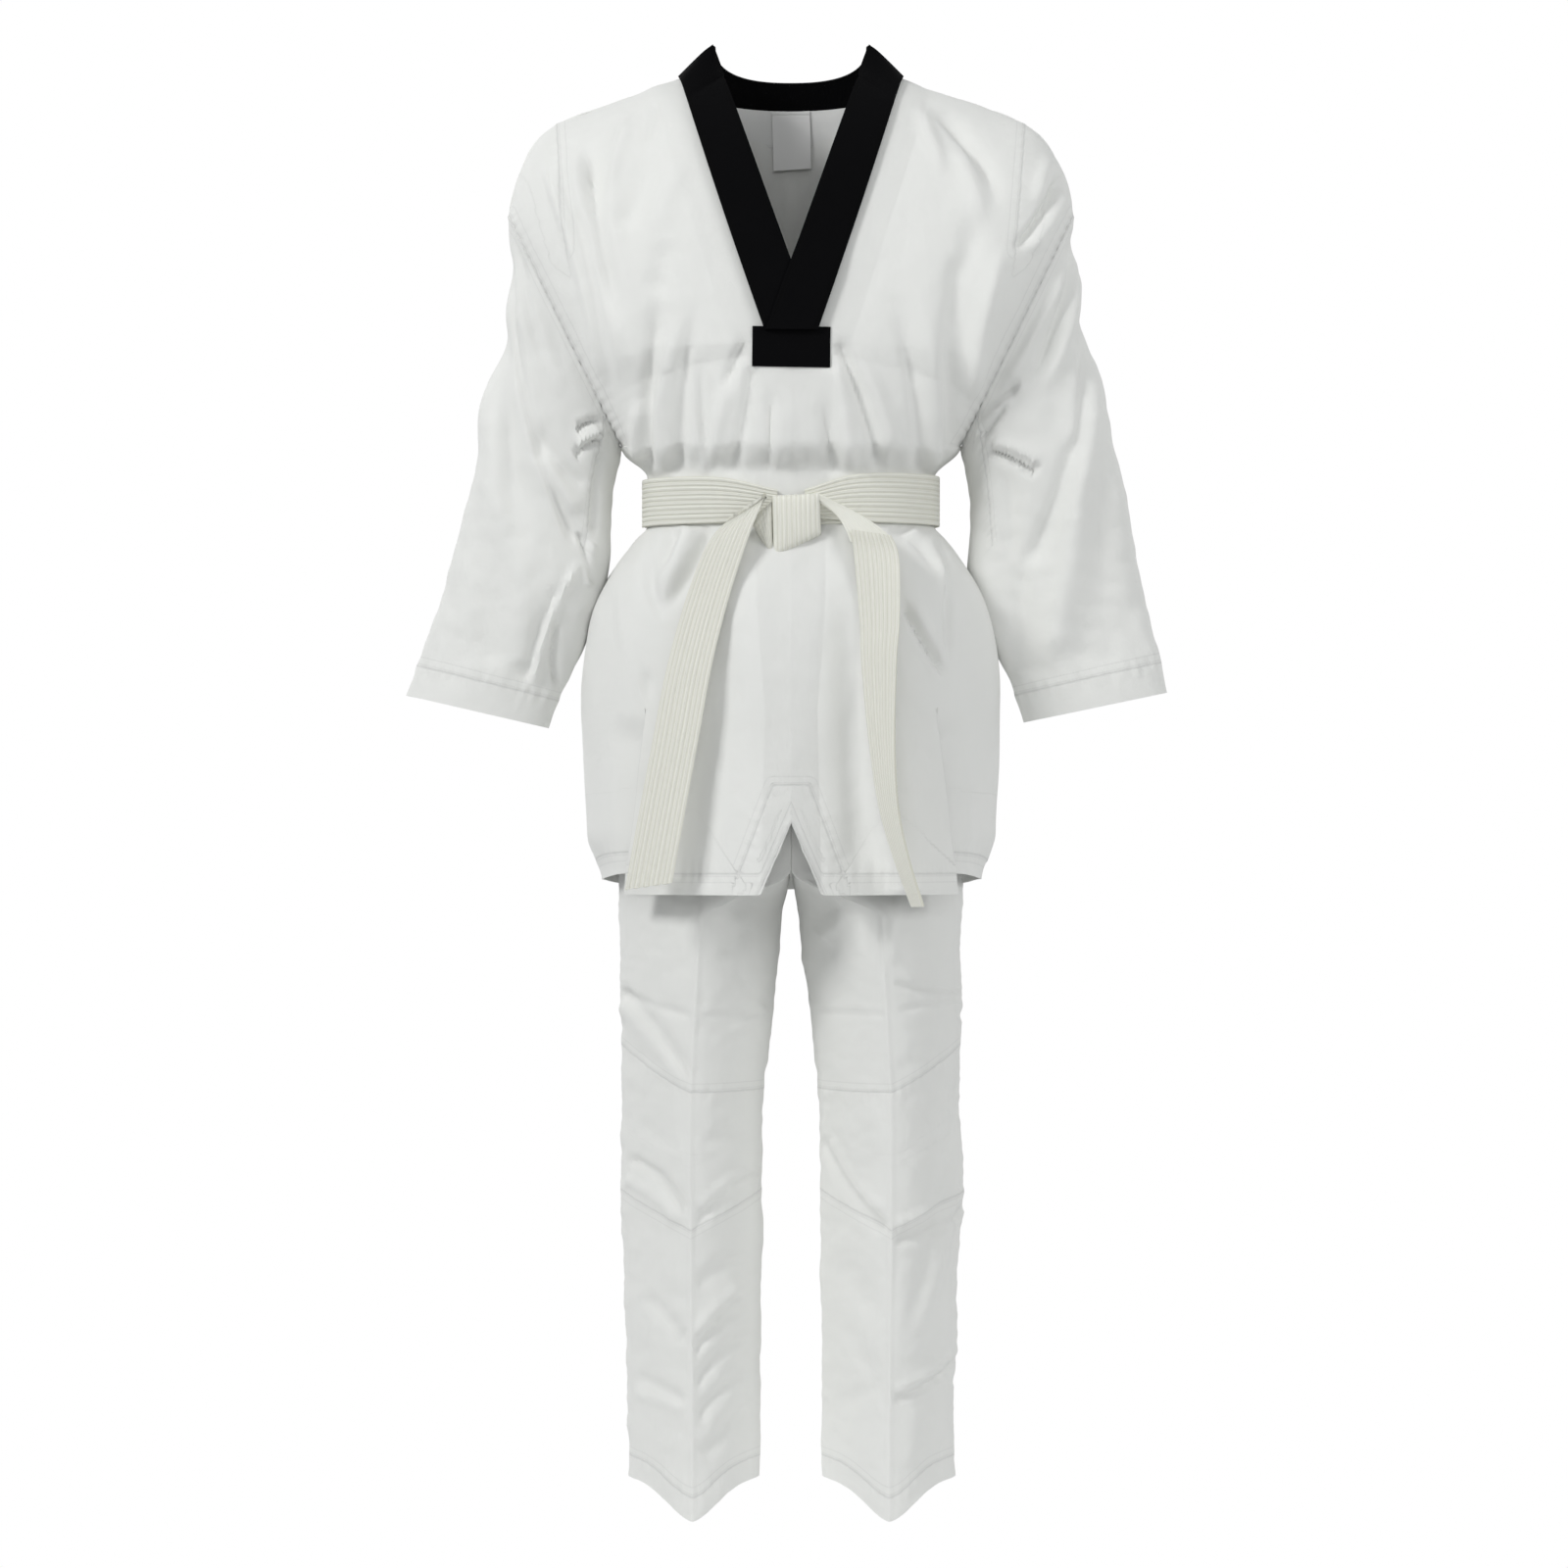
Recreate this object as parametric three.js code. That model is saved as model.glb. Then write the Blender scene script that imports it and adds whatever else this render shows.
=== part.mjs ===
// A martial arts uniform: a pullover V-neck jacket, a belt tied in front and straight trousers,
// hanging as worn. Millimetres, +Z up, the front faces -Y, and the origin lies between the
// shoulders at the level of the neck seam. Names follow the viewer's left and right.

import * as THREE from 'three';

// ---- driving dimensions ----
const FABRIC = 2.4; // the jacket's cloth, with its seams pressed flat
const LINING = 1.4; // reinforcement and facing cloth
const GAP = 0.3; // between pieces that touch
const CLEAR = 2; // between layers that slide over each other
const POWER = 2.3; // roundness of the body's cross-sections, where 2 is an ellipse

const CHEST = { z: -345, width: 164, depth: 118 }; // half sizes at the armpits
const WAIST = { z: -398, width: 139, depth: 100 }; // half sizes under the belt
const HIPS = { z: -600, width: 196, depth: 137 }; // half sizes at the top of the vents
const HEM = { z: -775, width: 190, depth: 141 }; // half sizes at the jacket's hem
const FRONT_EDGE = { top: 138, bottom: 160 }; // half width of the front below the vents
const BACK_FLAP_HALF = 150; // half width of the part of the back skirt that lifts
const WING_RISE = 26; // how far the hem rises at the sides

const NECK = { x: 108, z: 14, back: 80, backZ: 5 }; // neck seam at the shoulders and the back
const V_BOTTOM = -258; // lowest point of the neck cut
const V_FOOT = { x: 20, z: -250 }; // the V's edge where it meets the neck cut's foot
const SHOULDER = [[145, 0], [186, -14], [228, -31], [252, -54], [267, -86]]; // x, z of the seam
const TIP = { x: 274, z: -120 }; // top end of the armhole
const ARMHOLE_DEPTH = 63; // half depth of the armhole
const SHOULDER_POWER = 1.9; // roundness of the chest up to the shoulder
const V_SPREAD = 0.85; // how soon the V opens above its foot

const SLEEVE_HEAD = 95; // length of the part that bends when the arm lifts
const SLEEVE = 252; // length of the tube below it, along its middle
const CUFF = { halfWidth: 71, halfDepth: 30 };
const CUFF_MIDDLE = { left: [-304, -600], right: [295, -596] }; // x, z
const GUSSET_HALF_ANGLE = 42; // degrees of the sleeve's round that the gusset takes
const SLEEVE_TAPER = 0.35; // share of the sleeve's taper that eases in and out

const COLLAR = { thick: 3, peakX: 76, peakZ: 46, backTop: 44 };
const COLLAR_FOOT = { spread: 25, outer: -236, inner: -178 }; // the bands' lower ends
const PATCH = { width: 74, height: 38, thick: 2.5, drop: 0.7 }; // drop is below the bands
const LABEL = { width: 38, height: 58, thick: 1 };

const BELT = { width: 45, thick: 2.2, gapHalf: 6 };
const KNOT = { thick: 13, left: -17, right: 28, top: -394, lowRight: -436, lowLeft: -457, corner: 4 };
const FOLD = { tip: -40, height: 34, thick: 5 };
const TAIL = { thick: 4 };

const NOTCH = { half: 29, height: 68 }; // the inverted V in the front hem
const NOTCH_FACING = { topHalf: 17, bottomHalf: 50, top: 104 };

const RISE_TOP = -428; // top of the trousers' waistband
const BAND = { height: 42, width: 128, depth: 92, thick: 2 };
const ELASTIC = { height: 34, thick: 1.6 };
const HIP = { z: -660, width: 172, depth: 108 };
const CROTCH = { z: -752, width: 166, depth: 100 };
const LEG_TOP = { z: CROTCH.z - GAP, middle: 86, width: 80, depth: 96 };
const KNEE = { z: -1015, middle: 96, width: 68, depth: 84 };
const ANKLE = { z: -1340, middle: 94, width: 64, depth: 78 };
const CREASE_DROP = 34; // how far the trouser hem dips at the crease
const THIGH_BEND = 90; // length of the leg's top that bends with the hip
const KNEE_PANEL = { top: -958, bottom: -1088 };
const TROUSER = 2.2; // the trousers' cloth

// ---- finishes ----
const WHITE = { color: 0xeef0ec, roughness: 0.9, metalness: 0 };
const LINED = { color: 0xe4e6e2, roughness: 0.92, metalness: 0 };
const BLACK = { color: 0x17181a, roughness: 0.75, metalness: 0 };
const CREAM = { color: 0xf3f2e0, roughness: 0.85, metalness: 0 };
const RUBBER = { color: 0xd9dad6, roughness: 0.8, metalness: 0 };

const uniform = new THREE.Group();

function add(name, geometry, finish) {
  const mesh = new THREE.Mesh(geometry, new THREE.MeshStandardMaterial(finish));
  mesh.name = name;
  uniform.add(mesh);
}

// ---- surfaces: points and triangles, then a thickness ----
const range = (count) => Array.from({ length: count + 1 }, (_, i) => i / count);
const between = (a, b, t) => a + (b - a) * t;
const smooth = (t) => t * t * (3 - 2 * t);

/** A surface of point(u, v) over lists of u and v, joined end to end along u if it is a ring. */
function grid(us, vs, point, ring = false) {
  const points = vs.flatMap((v) => us.map((u) => point(u, v)));
  const faces = [];
  const wide = us.length;
  const cells = ring ? wide : wide - 1;
  for (let row = 0; row + 1 < vs.length; row += 1) {
    for (let column = 0; column < cells; column += 1) {
      const a = row * wide + column;
      const b = row * wide + ((column + 1) % wide);
      faces.push([a, b, b + wide], [a, b + wide, a + wide]);
    }
  }
  return { points, faces };
}

/** Surfaces joined into one, with points that coincide merged. */
function join(...surfaces) {
  const places = new Map();
  const points = [];
  const faces = [];
  for (const surface of surfaces) {
    const index = surface.points.map((p) => {
      const key = [p.x, p.y, p.z].map((n) => Math.round(n * 100)).join();
      if (!places.has(key)) {
        places.set(key, points.push(p) - 1);
      }
      return places.get(key);
    });
    const kept = surface.faces.map((face) => face.map((n) => index[n]));
    faces.push(...kept.filter(([a, b, c]) => a !== b && b !== c && c !== a));
  }
  return { points, faces };
}

/** The surface's mirror image across the plane x = 0, facing the same way out. */
function mirror({ points, faces }) {
  return {
    points: points.map((p) => new THREE.Vector3(-p.x, p.y, p.z)),
    faces: faces.map(([a, b, c]) => [a, c, b]),
  };
}

/** The surface facing the other way. */
function flip({ points, faces }) {
  return { points, faces: faces.map(([a, b, c]) => [a, c, b]) };
}

/** A closed solid between a surface moved inwards by two amounts. */
function thicken({ points, faces }, inwards, from, to) {
  const count = points.length;
  const all = [...points.map((p) => inwards(p, from)), ...points.map((p) => inwards(p, to))];
  const open = new Map();
  for (const [a, b, c] of faces) {
    for (const [p, q] of [[a, b], [b, c], [c, a]]) {
      if (!open.delete(`${q},${p}`)) {
        open.set(`${p},${q}`, [p, q]);
      }
    }
  }
  const walls = [...open.values()].flatMap(([p, q]) => [
    [q, p, p + count],
    [q, p + count, q + count],
  ]);
  const inner = faces.map(([a, b, c]) => [c + count, b + count, a + count]);
  return solid(all, [...faces, ...inner, ...walls]);
}

/** A closed solid between two sheets, each made by sheet(inset) with the same columns and rows. */
function sheetSolid(sheet, from, to) {
  const outer = sheet(from);
  const inner = sheet(to);
  const pairs = new Map(outer.points.map((p, n) => [p, inner.points[n]]));
  return thicken(outer, (p, t) => (t ? pairs.get(p).clone() : p.clone()), 0, 1);
}

/** A closed geometry of points and triangles, turned to face outwards. */
function solid(points, faces) {
  let volume = 0;
  for (const [a, b, c] of faces) {
    volume += points[a].dot(points[b].clone().cross(points[c]));
  }
  const turned = volume > 0 ? faces : faces.map(([a, b, c]) => [a, c, b]);
  const geometry = new THREE.BufferGeometry();
  const flat = points.flatMap((p) => [p.x, p.y, p.z]);
  geometry.setAttribute('position', new THREE.Float32BufferAttribute(flat, 3));
  geometry.setIndex(turned.flat());
  geometry.computeVertexNormals();
  return geometry;
}

/** Half sizes at a height between levels listed from the lowest or the highest, eased. */
function sizeAt(levels, z) {
  const sorted = [...levels].sort((a, b) => b.z - a.z);
  if (z >= sorted[0].z) {
    return sorted[0];
  }
  const below = sorted.findIndex((level) => level.z <= z);
  if (below < 0) {
    return sorted[sorted.length - 1];
  }
  const [high, low] = [sorted[below - 1], sorted[below]];
  const t = smooth((high.z - z) / (high.z - low.z));
  const mix = (key) => between(high[key], low[key], t);
  return { width: mix('width'), depth: mix('depth'), middle: mix('middle') };
}

/** A point of a rounded cross-section. The angle runs from 0 in front to 180 degrees behind. */
function rounded(width, depth, degrees, power = POWER) {
  const a = THREE.MathUtils.degToRad(degrees);
  const root = (n) => Math.sign(n) * Math.abs(n) ** (2 / power);
  return [width * root(Math.sin(a)), -depth * root(Math.cos(a))];
}

// ---- the jacket's body ----
const BELT_TOP = WAIST.z + BELT.width / 2 + CLEAR;
const BELT_FOOT = WAIST.z - BELT.width / 2 - CLEAR;
const BODY_LEVELS = [
  CHEST,
  { ...WAIST, z: BELT_TOP },
  { ...WAIST, z: BELT_FOOT },
  HIPS,
  HEM,
];
const SEAM_ROWS = [HIPS.z, -555, -510, -465, BELT_FOOT, BELT_TOP, CHEST.z];
const SIDE = 90; // degrees round the body to its side

function bodyPoint(degrees, z) {
  const { width, depth } = sizeAt(BODY_LEVELS, z);
  const [x, y] = rounded(width, depth, degrees);
  return new THREE.Vector3(x, y, z);
}

/** Degrees from the front to the side seam: at the side above the belt, forward below it. */
function seamAngle(z) {
  if (z >= BELT_FOOT) {
    return SIDE;
  }
  const down = (BELT_FOOT - z) / (BELT_FOOT - HIPS.z);
  const sine = between(1, (FRONT_EDGE.top / HIPS.width) ** (POWER / 2), Math.min(1, down));
  return THREE.MathUtils.radToDeg(Math.asin(sine));
}

/** The jacket's cloth moved inwards, the same for every piece, so that layers never cross. */
function intoBody(p, depth) {
  const up = THREE.MathUtils.clamp((p.z - V_BOTTOM) / (NECK.z - V_BOTTOM), 0, 1);
  return new THREE.Vector3(
    p.x * (1 - depth / HIPS.width),
    p.y * (1 - depth / CHEST.depth),
    p.z - depth * up * up,
  );
}

const SHOULDER_SEAM = [[NECK.x, NECK.z], ...SHOULDER, [TIP.x, TIP.z]];
const SEAM_COLUMNS = range(SHOULDER_SEAM.length - 1);
const shoulderAt = (u, y) => {
  const [x, z] = SHOULDER_SEAM[Math.round(u * (SHOULDER_SEAM.length - 1))];
  return new THREE.Vector3(x, y, z);
};

/** The armhole's edge from the armpit (0) to the shoulder (1), a half ellipse in a slanted plane. */
function armholeAt(v, facing) {
  const turn = Math.PI * v;
  const along = (1 - Math.cos(turn)) / 2;
  const y = facing * (GAP / 2 + (ARMHOLE_DEPTH - GAP / 2) * Math.sin(turn));
  return new THREE.Vector3(between(CHEST.width, TIP.x, along), y, between(CHEST.z, TIP.z, along));
}

/** A patch between four edges that meet at its corners. */
function patch(bottom, top, left, right) {
  return (u, v) => {
    const corners = [
      [bottom(0), (1 - u) * (1 - v)],
      [bottom(1), u * (1 - v)],
      [top(0), (1 - u) * v],
      [top(1), u * v],
    ];
    const point = bottom(u).multiplyScalar(1 - v);
    point.addScaledVector(top(u), v);
    point.addScaledVector(left(v), 1 - u);
    point.addScaledVector(right(v), u);
    for (const [corner, share] of corners) {
      point.addScaledVector(corner, -share);
    }
    return point;
  };
}

const UPPER_ROWS = [0, 0.12, 0.235, 0.35, 0.5, 0.65, 0.78, 0.88, 0.95, 1];
const V_ROW = UPPER_ROWS[2]; // the row that meets the neck cut's lowest point
const FOOT_ROW = UPPER_ROWS[3]; // the row that meets the V's foot

/** Depth of the chest at a height, rounding to nothing at the shoulder seam. */
function chestDepth(z) {
  const up = THREE.MathUtils.clamp((z - V_BOTTOM) / (NECK.z - V_BOTTOM), 0, 1);
  return CHEST.depth * (1 - up ** SHOULDER_POWER) ** (1 / SHOULDER_POWER);
}

/** The front's inner edge from the chest line (0) to the shoulder (1): centre, foot, then the V. */
function frontEdge(v) {
  if (v <= V_ROW) {
    const z = between(CHEST.z, V_BOTTOM, v / V_ROW);
    return new THREE.Vector3(0, -CHEST.depth, z);
  }
  if (v <= FOOT_ROW) {
    const t = (v - V_ROW) / (FOOT_ROW - V_ROW);
    const z = between(V_BOTTOM, V_FOOT.z, t);
    return new THREE.Vector3(V_FOOT.x * t, -chestDepth(z), z);
  }
  const t = ((v - FOOT_ROW) / (1 - FOOT_ROW)) ** V_SPREAD;
  const z = between(V_FOOT.z, NECK.z, t);
  return new THREE.Vector3(between(V_FOOT.x, NECK.x, t), -Math.max(chestDepth(z), GAP / 2), z);
}

const chestLine = (facing) => (u) => {
  const degrees = facing < 0 ? SIDE * u : 180 - SIDE * u;
  const [x, y] = rounded(CHEST.width, CHEST.depth, degrees);
  const side = u === 1 ? (facing * GAP) / 2 : y;
  return new THREE.Vector3(x, side, CHEST.z);
};

const frontUpper = patch(
  chestLine(-1),
  (u) => shoulderAt(u, -GAP / 2),
  frontEdge,
  (v) => armholeAt(v, -1),
);

/** The body below the chest line, from its middle in front or behind (0) to the side seam (1). */
function lowerPoint(facing, u, z) {
  const clear = THREE.MathUtils.radToDeg(GAP / 2 / WAIST.width);
  const seam = seamAngle(z) + (u === 1 ? facing * clear : 0);
  const point = bodyPoint(facing < 0 ? seam * u : between(180, seam, u), z);
  if (u === 1 && z >= BELT_FOOT) {
    point.x = sizeAt(BODY_LEVELS, z).width;
    point.y = (facing * GAP) / 2;
  }
  return point;
}

const frontHalf = join(
  grid(SEAM_COLUMNS, SEAM_ROWS, (u, z) => lowerPoint(-1, u, z)),
  grid(SEAM_COLUMNS, UPPER_ROWS, frontUpper),
);
add('front_panel', thicken(join(frontHalf, mirror(frontHalf)), intoBody, 0, FABRIC), WHITE);

// the back: its top edge is the neckline, then the shoulder seam
const NECKLINE_CELLS = 4;
const TOP_CELLS = NECKLINE_CELLS + SHOULDER_SEAM.length - 1;
const BACK_COLUMNS = range(TOP_CELLS);

/** The back neckline from its middle (0) to the shoulder (1), an ellipse seen from above. */
function necklineAt(t) {
  const turn = (Math.PI / 2) * t;
  const y = Math.max(NECK.back * Math.cos(turn), GAP / 2);
  return new THREE.Vector3(NECK.x * Math.sin(turn), y, between(NECK.backZ, NECK.z, t * t));
}

const backTop = (u) => {
  const step = Math.round(u * TOP_CELLS);
  if (step <= NECKLINE_CELLS) {
    return necklineAt(step / NECKLINE_CELLS);
  }
  return shoulderAt((step - NECKLINE_CELLS) / (SHOULDER_SEAM.length - 1), GAP / 2);
};

const backMiddle = (v) => {
  const t = Math.sin((Math.PI / 2) * v);
  const z = between(CHEST.z, NECK.backZ, v);
  return new THREE.Vector3(0, between(CHEST.depth, NECK.back, 1 - Math.cos((Math.PI / 2) * t)), z);
};
const backUpper = patch(chestLine(1), backTop, backMiddle, (v) => armholeAt(v, 1));

const backLower = grid(BACK_COLUMNS, SEAM_ROWS, (u, z) => lowerPoint(1, u, z));
const backHalf = join(backLower, grid(BACK_COLUMNS, UPPER_ROWS, backUpper));
add('back_panel', thicken(join(backHalf, mirror(backHalf)), intoBody, 0, FABRIC), WHITE);

// ---- the skirt below the vents ----
const VENT = HIPS.z - GAP; // top edge of the flaps
const angleAt = (x, z) => {
  const { width } = sizeAt(BODY_LEVELS, z);
  const share = Math.min(1, Math.abs(x) / width) ** (POWER / 2);
  return THREE.MathUtils.radToDeg(Math.asin(share));
};

/** The front hem's height at a distance from the middle, with the notch cut into it. */
const hemAt = (x) => HEM.z + NOTCH.height * Math.max(0, 1 - Math.abs(x) / NOTCH.half);

const FLAP_COLUMNS = [-1, -0.8, -0.55, -0.35, -NOTCH.half / FRONT_EDGE.bottom, 0];
const BOTH = [...FLAP_COLUMNS, ...FLAP_COLUMNS.slice(0, -1).map((u) => -u).reverse()];
const FLAP_ROWS = [0, 0.3, 0.6, 0.85, 1];
const frontFlap = grid(BOTH, FLAP_ROWS, (u, v) => {
  const z = between(VENT, hemAt(u * FRONT_EDGE.bottom), v);
  const x = u * between(FRONT_EDGE.top, FRONT_EDGE.bottom, v) - Math.sign(u) * GAP;
  const [, y] = rounded(1, sizeAt(BODY_LEVELS, z).depth, angleAt(x, z));
  return new THREE.Vector3(x, y, z);
});
add('front_flap', thicken(frontFlap, intoBody, 0, FABRIC), WHITE);

const notchFacing = grid(BOTH, [0, 0.5, 1], (u, v) => {
  const top = HEM.z + NOTCH_FACING.top;
  const half = between(NOTCH_FACING.topHalf, NOTCH_FACING.bottomHalf, v);
  const bottom = hemAt(u * NOTCH_FACING.bottomHalf) + CLEAR;
  const z = between(top, bottom, v);
  const [, y] = rounded(1, sizeAt(BODY_LEVELS, z).depth, angleAt(u * half, z));
  return new THREE.Vector3(u * half, y, z);
});
const FACED = FABRIC + 3 * GAP;
add('front_notch_facing', thicken(notchFacing, intoBody, FACED, FACED + LINING), LINED);

/** The back hem's height at an angle from the middle of the back, rising to the sides. */
const backHemAt = (degrees) => HEM.z + WING_RISE * smooth((180 - degrees) / 180);

const flapEdge = (z) => 180 - angleAt(BACK_FLAP_HALF, z);
const backFlap = grid(BOTH, FLAP_ROWS, (u, v) => {
  const edge = 180 - flapEdge(HIPS.z) - THREE.MathUtils.radToDeg(GAP / HIPS.width);
  const degrees = 180 - edge * Math.abs(u);
  const point = bodyPoint(degrees, between(VENT, backHemAt(degrees), v));
  point.x *= u < 0 ? -1 : 1;
  return point;
});
add('back_flap', thicken(backFlap, intoBody, 0, FABRIC), WHITE);

const wing = grid(range(6), FLAP_ROWS, (u, v) => {
  const edge = between(FRONT_EDGE.top, FRONT_EDGE.bottom, v) + GAP;
  const front = angleAt(edge, between(VENT, backHemAt(seamAngle(HIPS.z)), v));
  const degrees = between(front, flapEdge(HIPS.z), u);
  return bodyPoint(degrees, between(VENT, backHemAt(degrees), v));
});
add('right_side_skirt', thicken(wing, intoBody, 0, FABRIC), WHITE);
add('left_side_skirt', thicken(mirror(wing), intoBody, 0, FABRIC), WHITE);

// ---- linings inside the neck and shoulders ----
const SHOULDER_ROWS = UPPER_ROWS.slice(5);
const LINED_COLUMNS = SEAM_COLUMNS.slice(1, 6);
const frontLining = grid(LINED_COLUMNS, SHOULDER_ROWS, (u, v) => {
  const point = frontUpper(u, v);
  point.y = v === 1 ? 0 : point.y;
  return point;
});
const BACK_LINED = BACK_COLUMNS.slice(NECKLINE_CELLS + 1, NECKLINE_CELLS + 6);
const backLining = grid(BACK_LINED, SHOULDER_ROWS, (u, v) => {
  const point = backUpper(u, v);
  point.y = v === 1 ? 0 : point.y;
  return point;
});
const LINING_FROM = FABRIC + GAP;
const shoulderLining = join(frontLining, flip(backLining));
const liningSolid = (surface) => thicken(surface, intoBody, LINING_FROM, LINING_FROM + LINING);
add('right_shoulder_lining', liningSolid(shoulderLining), LINED);
add('left_shoulder_lining', liningSolid(mirror(shoulderLining)), LINED);

const yokeHalf = grid(BACK_COLUMNS.slice(0, NECKLINE_CELLS + 1), UPPER_ROWS.slice(7), backUpper);
add('back_neck_facing', liningSolid(join(yokeHalf, mirror(yokeHalf))), LINED);

// ---- collar: two bands down the V and one that stands round the back of the neck ----

/** A solid strip between two edges given as points, with a thickness towards a direction. */
function strip(edges, thick, towards) {
  const rows = range(edges[0].length - 1);
  const surface = grid([0, 1], rows, (u, v) => {
    const step = Math.round(v * (edges[0].length - 1));
    return edges[u][step].clone();
  });
  const direction = new THREE.Vector3(...towards).normalize();
  return thicken(surface, (p, t) => p.clone().addScaledVector(direction, t), 0, thick);
}

/** Points of a band along the V from its foot (0) to the shoulder (1). */
function bandEdges() {
  const rows = [0, 0.15, 0.3, 0.45, 0.6, 0.72, 0.82, 0.9, 0.96, 1];
  const outer = rows.map((t) => {
    const z = between(COLLAR_FOOT.outer, NECK.z, t);
    const depth = chestDepth(z) + GAP + COLLAR.thick;
    return new THREE.Vector3(between(COLLAR_FOOT.spread, NECK.x, t), -depth, z + GAP * t);
  });
  const inner = rows.map((t) => {
    const z = between(COLLAR_FOOT.inner, COLLAR.peakZ, t);
    const depth = chestDepth(z) + GAP + COLLAR.thick;
    return new THREE.Vector3(between(CLEAR, COLLAR.peakX, t), -depth, z);
  });
  return [outer, inner];
}

const [bandOuter, bandInner] = bandEdges();
const band = strip([bandOuter, bandInner], COLLAR.thick, [0, 1, 0]);
add('collar_right', band, BLACK);
const bandLeft = [bandOuter, bandInner].map((edge) => edge.map((p) => new THREE.Vector3(-p.x, p.y, p.z)));
add('collar_left', strip(bandLeft, COLLAR.thick, [0, 1, 0]), BLACK);

const COLLAR_CELLS = 14;
const COLLAR_LEAN = 0.86; // how far the band's top leans towards the neck, as a share
const collarBack = grid(range(COLLAR_CELLS), [0, 1], (u, v) => {
  const turn = (Math.PI / 2) * between(-1, 1, u);
  const side = Math.abs(between(-1, 1, u));
  const foot = necklineAt(side);
  const x = between(NECK.x - CLEAR, COLLAR.peakX - CLEAR, v) * Math.sin(turn);
  const top = between(COLLAR.backTop, COLLAR.peakZ, side ** 3);
  const z = between(foot.z + GAP, top, v);
  return new THREE.Vector3(x, foot.y * between(1, COLLAR_LEAN, v) + GAP, z);
});
const intoNeck = (p, t) => new THREE.Vector3(p.x * (1 - t / NECK.x), p.y * (1 - t / NECK.back), p.z);
add('collar_back', thicken(collarBack, intoNeck, 0, COLLAR.thick), BLACK);

/** A box of a size with its middle at a place. */
function block([width, depth, height], place) {
  return new THREE.BoxGeometry(width, depth, height).translate(...place);
}

const patchSize = [PATCH.width, PATCH.thick, PATCH.height];
const besidePatch = UPPER_ROWS.filter((v) => v <= FOOT_ROW).map((v) => -frontUpper(SEAM_COLUMNS[1], v).y);
const patchY = -(Math.max(CHEST.depth, ...besidePatch) + GAP + PATCH.thick / 2);
const patchZ = COLLAR_FOOT.outer - PATCH.drop - PATCH.height / 2;
add('collar_patch', block(patchSize, [0, patchY, patchZ]), BLACK);

const labelCell = necklineAt(1 / NECKLINE_CELLS);
const behindLabel = between(NECK.back, labelCell.y, LABEL.width / 2 / labelCell.x);
const facingInside = behindLabel * (1 - (LINING_FROM + LINING) / CHEST.depth);
const labelY = facingInside - GAP - LABEL.thick / 2;
const labelZ = NECK.backZ - CLEAR - LABEL.height / 2;
add('neck_label', block([LABEL.width, LABEL.thick, LABEL.height], [0, labelY, labelZ]), WHITE);

// ---- sleeves ----
const ARMHOLE_MIDDLE = [(CHEST.width + TIP.x) / 2, (CHEST.z + TIP.z) / 2];
const ARMHOLE_HALF = Math.hypot(TIP.x - CHEST.width, TIP.z - CHEST.z) / 2;
const ARMHOLE_DIRECTION = [
  (TIP.x - CHEST.width) / 2 / ARMHOLE_HALF,
  (TIP.z - CHEST.z) / 2 / ARMHOLE_HALF,
];
const SLEEVE_LENGTH = SLEEVE_HEAD + SLEEVE + 2 * GAP;

/** A sleeve's surface. Length runs from the armhole to the cuff, and degrees round the tube
 * from the top (0) over the front to the underarm (180) and back up behind. */
function sleevePoint(side, degrees, length, inset) {
  const sign = side === 'left' ? -1 : 1;
  const cuff = [sign * CUFF_MIDDLE[side][0], CUFF_MIDDLE[side][1]];
  const t = length / SLEEVE_LENGTH;
  const turned = smooth(t);
  const axis = [cuff[0] - ARMHOLE_MIDDLE[0], cuff[1] - ARMHOLE_MIDDLE[1]];
  const reach = Math.hypot(...axis);
  const across = [-axis[1] / reach, axis[0] / reach];
  const direction = [0, 1].map((n) => between(ARMHOLE_DIRECTION[n], across[n], turned));
  const long = Math.hypot(...direction);
  const half = between(ARMHOLE_HALF - GAP, CUFF.halfWidth, between(t, smooth(t), SLEEVE_TAPER)) - inset;
  const deep = between(ARMHOLE_DEPTH, CUFF.halfDepth, t) - inset;
  const a = THREE.MathUtils.degToRad(degrees);
  const along = Math.cos(a) * half;
  const x = ARMHOLE_MIDDLE[0] + axis[0] * t + (direction[0] / long) * along + GAP;
  const z = ARMHOLE_MIDDLE[1] + axis[1] * t + (direction[1] / long) * along;
  return new THREE.Vector3(sign * x, -deep * Math.sin(a), z);
}

/** A closed piece of a sleeve between two lengths and two angles. */
function sleevePiece(side, lengths, angles, ring = false, from = 0, to = FABRIC) {
  const sheet = (inset) => grid(angles, lengths, (a, l) => sleevePoint(side, a, l, inset), ring);
  return sheetSolid(sheet, from, to);
}

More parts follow.
